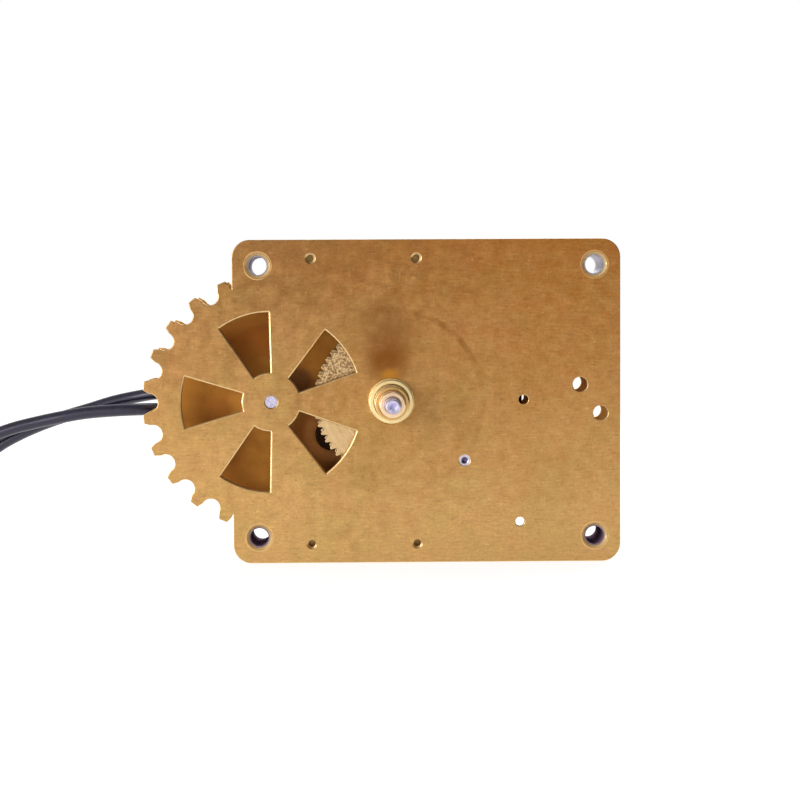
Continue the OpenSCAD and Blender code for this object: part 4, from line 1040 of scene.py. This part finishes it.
cup = pull_round("motor_bearing_cup", (MOTOR[0], CAN_Y + CAN_LENGTH - 0.1, MOTOR[1]), (0, 1, 0),
                 [(0, 5.4), (0.5, 5.3), (0.8, 4.9), (0.8, 3.2), (0.35, 2.9), (0.35, 0.4)])
dress(cup, "plated steel")
print(boot.name, cup.name)

# %% [markdown]
# ## Marks of the motor's making
# A can is held to its gearbox by short tabs that are punched over the joint. One tab is a
# cube with inset, sunk and bevelled faces. The others are copies of its mesh, and each is
# turned about the motor's axis to its own place on the can.

# %% A box
def box(name, centre, size):
    """A cuboid of size (x, y, z) about centre, in mm."""
    bpy.ops.object.select_all(action="DESELECT")
    bpy.ops.mesh.primitive_cube_add(size=1.0, location=Vector(centre) * MM)
    piece = bpy.context.object
    piece.name = name
    piece.scale = Vector(size) * MM
    apply_place()
    return piece


# %% Crimped tabs
TAB_RADIUS, TAB_Y = 28.6, 50.3
TAB_TURNS = [20, 80, 140, 200, 260, 320]

tab = box("crimp_tab", (TAB_RADIUS, 0, 0), (0.9, 4.2, 3.6))
pick(tab, "FACE", lambda face: face.normal.x > 0.9)
bpy.ops.mesh.inset(thickness=0.8 * MM)
push(-0.35, 0, 0)
leave()
round_edges(tab, 0.22)
bpy.ops.object.shade_smooth_by_angle(angle=math.radians(40.0))
tab_axis = (MOTOR[0], TAB_Y, MOTOR[1])
repeat(tab, [tab_axis] * len(TAB_TURNS), "drawn can", turns=TAB_TURNS)

# %% [markdown]
# ## Contacts and ties
# Each connector holds three crimped contacts, which show as brass tongues in its mouth. Each
# coil is held by a tie, a plastic strap that is drawn tight around all turns at one place.
# The strap starts as a cube of the bundle's size: its two open sides are deleted, the four
# edges between the other sides are rounded, and Solidify gives the thickness. One contact and
# one tie are modelled, and copies go to the other places.

# %% Contacts
PLUG_W, PLUG_H, PLUG_L, PLUG_WALL = 12.0, 8.0, 24.0, 1.2
POCKET = (PLUG_W - 4 * PLUG_WALL) / 3

contact = box("contact", (4.6, 0, 0), (6.4, 1.5, 0.5))
pick(contact, "FACE", lambda face: face.normal.x < -0.9)
push(-0.9, 0, 0)
bpy.ops.transform.resize(value=(1, 0.5, 0.4), center_override=(0, 0, 0))
leave()
round_edges(contact, 0.1)

names, mouths = [], []
for name, (cable, line) in cables.items():
    end = line[-1] / MM
    first = end.y - PLUG_W / 2 + PLUG_WALL + POCKET / 2
    for k in range(3):
        names.append(f"{name}_contact_{k + 1}")
        mouths.append((end.x - PLUG_L, first + k * (POCKET + PLUG_WALL), FLOOR_Z + PLUG_H / 2))
pieces = repeat(contact, mouths, "contact brass", names)

# %% Ties
TIE_LOW_X, TIE_HIGH_X, TIE_WIDTH, BUNDLE_H = -309.4, -292.4, 5.0, 13.0
TIE_Y = {"motor": 93.5, "sensor": -0.5}


def runs_along_y(edge):
    a, b = (tie.data.vertices[k].co.y for k in edge.vertices)
    return abs(a - b) > 1 * MM


tie = box("coil_tie", (0, 0, BUNDLE_H / 2), (TIE_HIGH_X - TIE_LOW_X, TIE_WIDTH, BUNDLE_H))
pick(tie, "FACE", lambda face: abs(face.normal.y) > 0.9)
bpy.ops.mesh.delete(type="FACE")
leave()
pick(tie, "EDGE", runs_along_y)
bpy.ops.mesh.bevel(offset=3.2 * MM, segments=6, affect="EDGES")
leave()
apply_modifier(tie, "strap", "SOLIDIFY", thickness=0.6 * MM, offset=-1.0)
round_edges(tie, 0.12)
bpy.ops.object.shade_smooth_by_angle(angle=math.radians(40.0))
tied_at = [((TIE_LOW_X + TIE_HIGH_X) / 2, y, FLOOR_Z) for y in TIE_Y.values()]
pieces = repeat(tie, tied_at, "tie plastic", [name + "_coil_tie" for name in TIE_Y])

# %% [markdown]
# ## Parts that keep their own mesh
# The screws, nuts and other small turned parts already have their chamfers, so their nodes stay and
# only take a finish. The cables take theirs too.

# %% Finishes on nodes
KEPT = {
    "bush brass": ("rear_bush", "centre_collet"),
    "pillar brass": ("dial_pillars",),
    "motor steel": ("motor_shaft",),
    "sleeve steel": ("corner_sleeves",),
    "plated steel": ("corner_nuts", "pillar_screws", "motor_screws", "sensor_screws", "saddle_screws"),
    "spring steel": ("clutch_spring",),
    "magnet plating": ("index_magnet",),
    "drawn can": ("motor_can",),
    "grommet rubber": ("motor_grommet",),
}
for finish, members in KEPT.items():
    for member in members:
        nodes[member].data.materials.clear()
        nodes[member].data.materials.append(finishes[finish])
for cable in [cable for cable, _ in cables.values()] + leads:
    cable.data.materials.append(finishes["cable sheath"])

# %% Start and length of each cable, worked out and not kept
for name, (cable, line) in cables.items():
    tuple(line[0])
    round(line_length(line), 3)

# %% [markdown]
# ## Table and light
# The movement stands on a white table in front of nothing but white. A white floor alone
# would render grey, so it also glows a little, but only for rays that come from the camera,
# a reflection or a transmission. Its shadow stays. The world is white where it is seen and
# straight behind the movement. As a light and in reflections it is brighter at the lower left
# than at the upper right, as the studio in the photograph was.

# %% Floor
FLOOR_SIZE = 6.0
bpy.ops.object.select_all(action="DESELECT")
bpy.ops.mesh.primitive_plane_add(size=FLOOR_SIZE, location=(0, 0, FLOOR_Z * MM - 0.0002))
floor = bpy.context.object
floor.name = "floor"
s = Finish("floor white", Roughness=0.8, Base_Color=(0.45, 0.45, 0.45, 1))
path = s.node("LightPath")
seen = s.plus(s.plus(path["Is Camera Ray"], path["Is Glossy Ray"]), path["Is Transmission Ray"])
glow = s.node("Emission", Strength=s.times(s.maths("MINIMUM", seen, 1.0), 0.78))[0]
both = s.node("AddShader", i0=s.surface.outputs[0], i1=glow)[0]
s.feed(s.tree.nodes["Material Output"].inputs["Surface"], both)
floor.data.materials.append(s.material)
print("floor is", FLOOR_SIZE, "m wide")

# %% World
world = bpy.context.scene.world or bpy.data.worlds.new("studio")
bpy.context.scene.world = world
world.use_nodes = True
s = Shader(world.node_tree)
path = s.node("LightPath")
ray_way = s.node("TexCoord")["Generated"]


def towards(x, y, z):
    """1 for a ray that goes this way, 0 across it, -1 for the opposite way."""
    return s.vector("DOT_PRODUCT", ray_way, Vector((x, y, z)).normalized())["Value"]


lower_left = s.ramp(towards(-0.62, -0.22, -0.75), -0.75, 0.45, 0.40, 0.98, True)
flag = s.ramp(towards(0.68, -0.55, 0.50), 0.62, 0.86, 1.0, 0.42, True)
behind = s.ramp(s.axes(ray_way)[1], 0.35, 0.85, 0.0, 1.0, True)
studio = s.most(s.times(lower_left, flag), behind)
plain = s.most(path["Is Camera Ray"], path["Is Transmission Ray"])
level = s.node("Mix", {"data_type": "FLOAT"}, i0=plain, i2=studio, i3=1.0)[0]
background = world.node_tree.nodes["Background"].inputs
s.feed(background["Strength"], level)
s.feed(background["Color"], (1, 1, 1, 1))
print("world:", world.name)

# %% Lamps
def softbox(name, place, size, watts):
    """An area lamp at place, in metres, that points at the hub."""
    bpy.ops.object.light_add(type="AREA", location=place)
    lamp = bpy.context.object
    lamp.name = name
    lamp.data.shape = "RECTANGLE"
    lamp.data.size, lamp.data.size_y = size
    lamp.data.energy = watts
    lamp.rotation_euler = (-Vector(place)).to_track_quat("-Z", "Y").to_euler()
    print(name, "lamp gives", watts, "W")


softbox("key", (-0.75, -0.95, 0.10), (0.7, 0.7), 7.0)
softbox("strip", (-1.10, -0.22, -0.02), (0.5, 0.10), 1.1)
softbox("top", (0.10, 0.55, 1.10), (0.5, 0.5), 3.0)
softbox("rear", (0.2, 0.9, 0.6), (0.8, 0.8), 5.0)

# %% Standard colours
bpy.context.scene.view_settings.view_transform = "Standard"
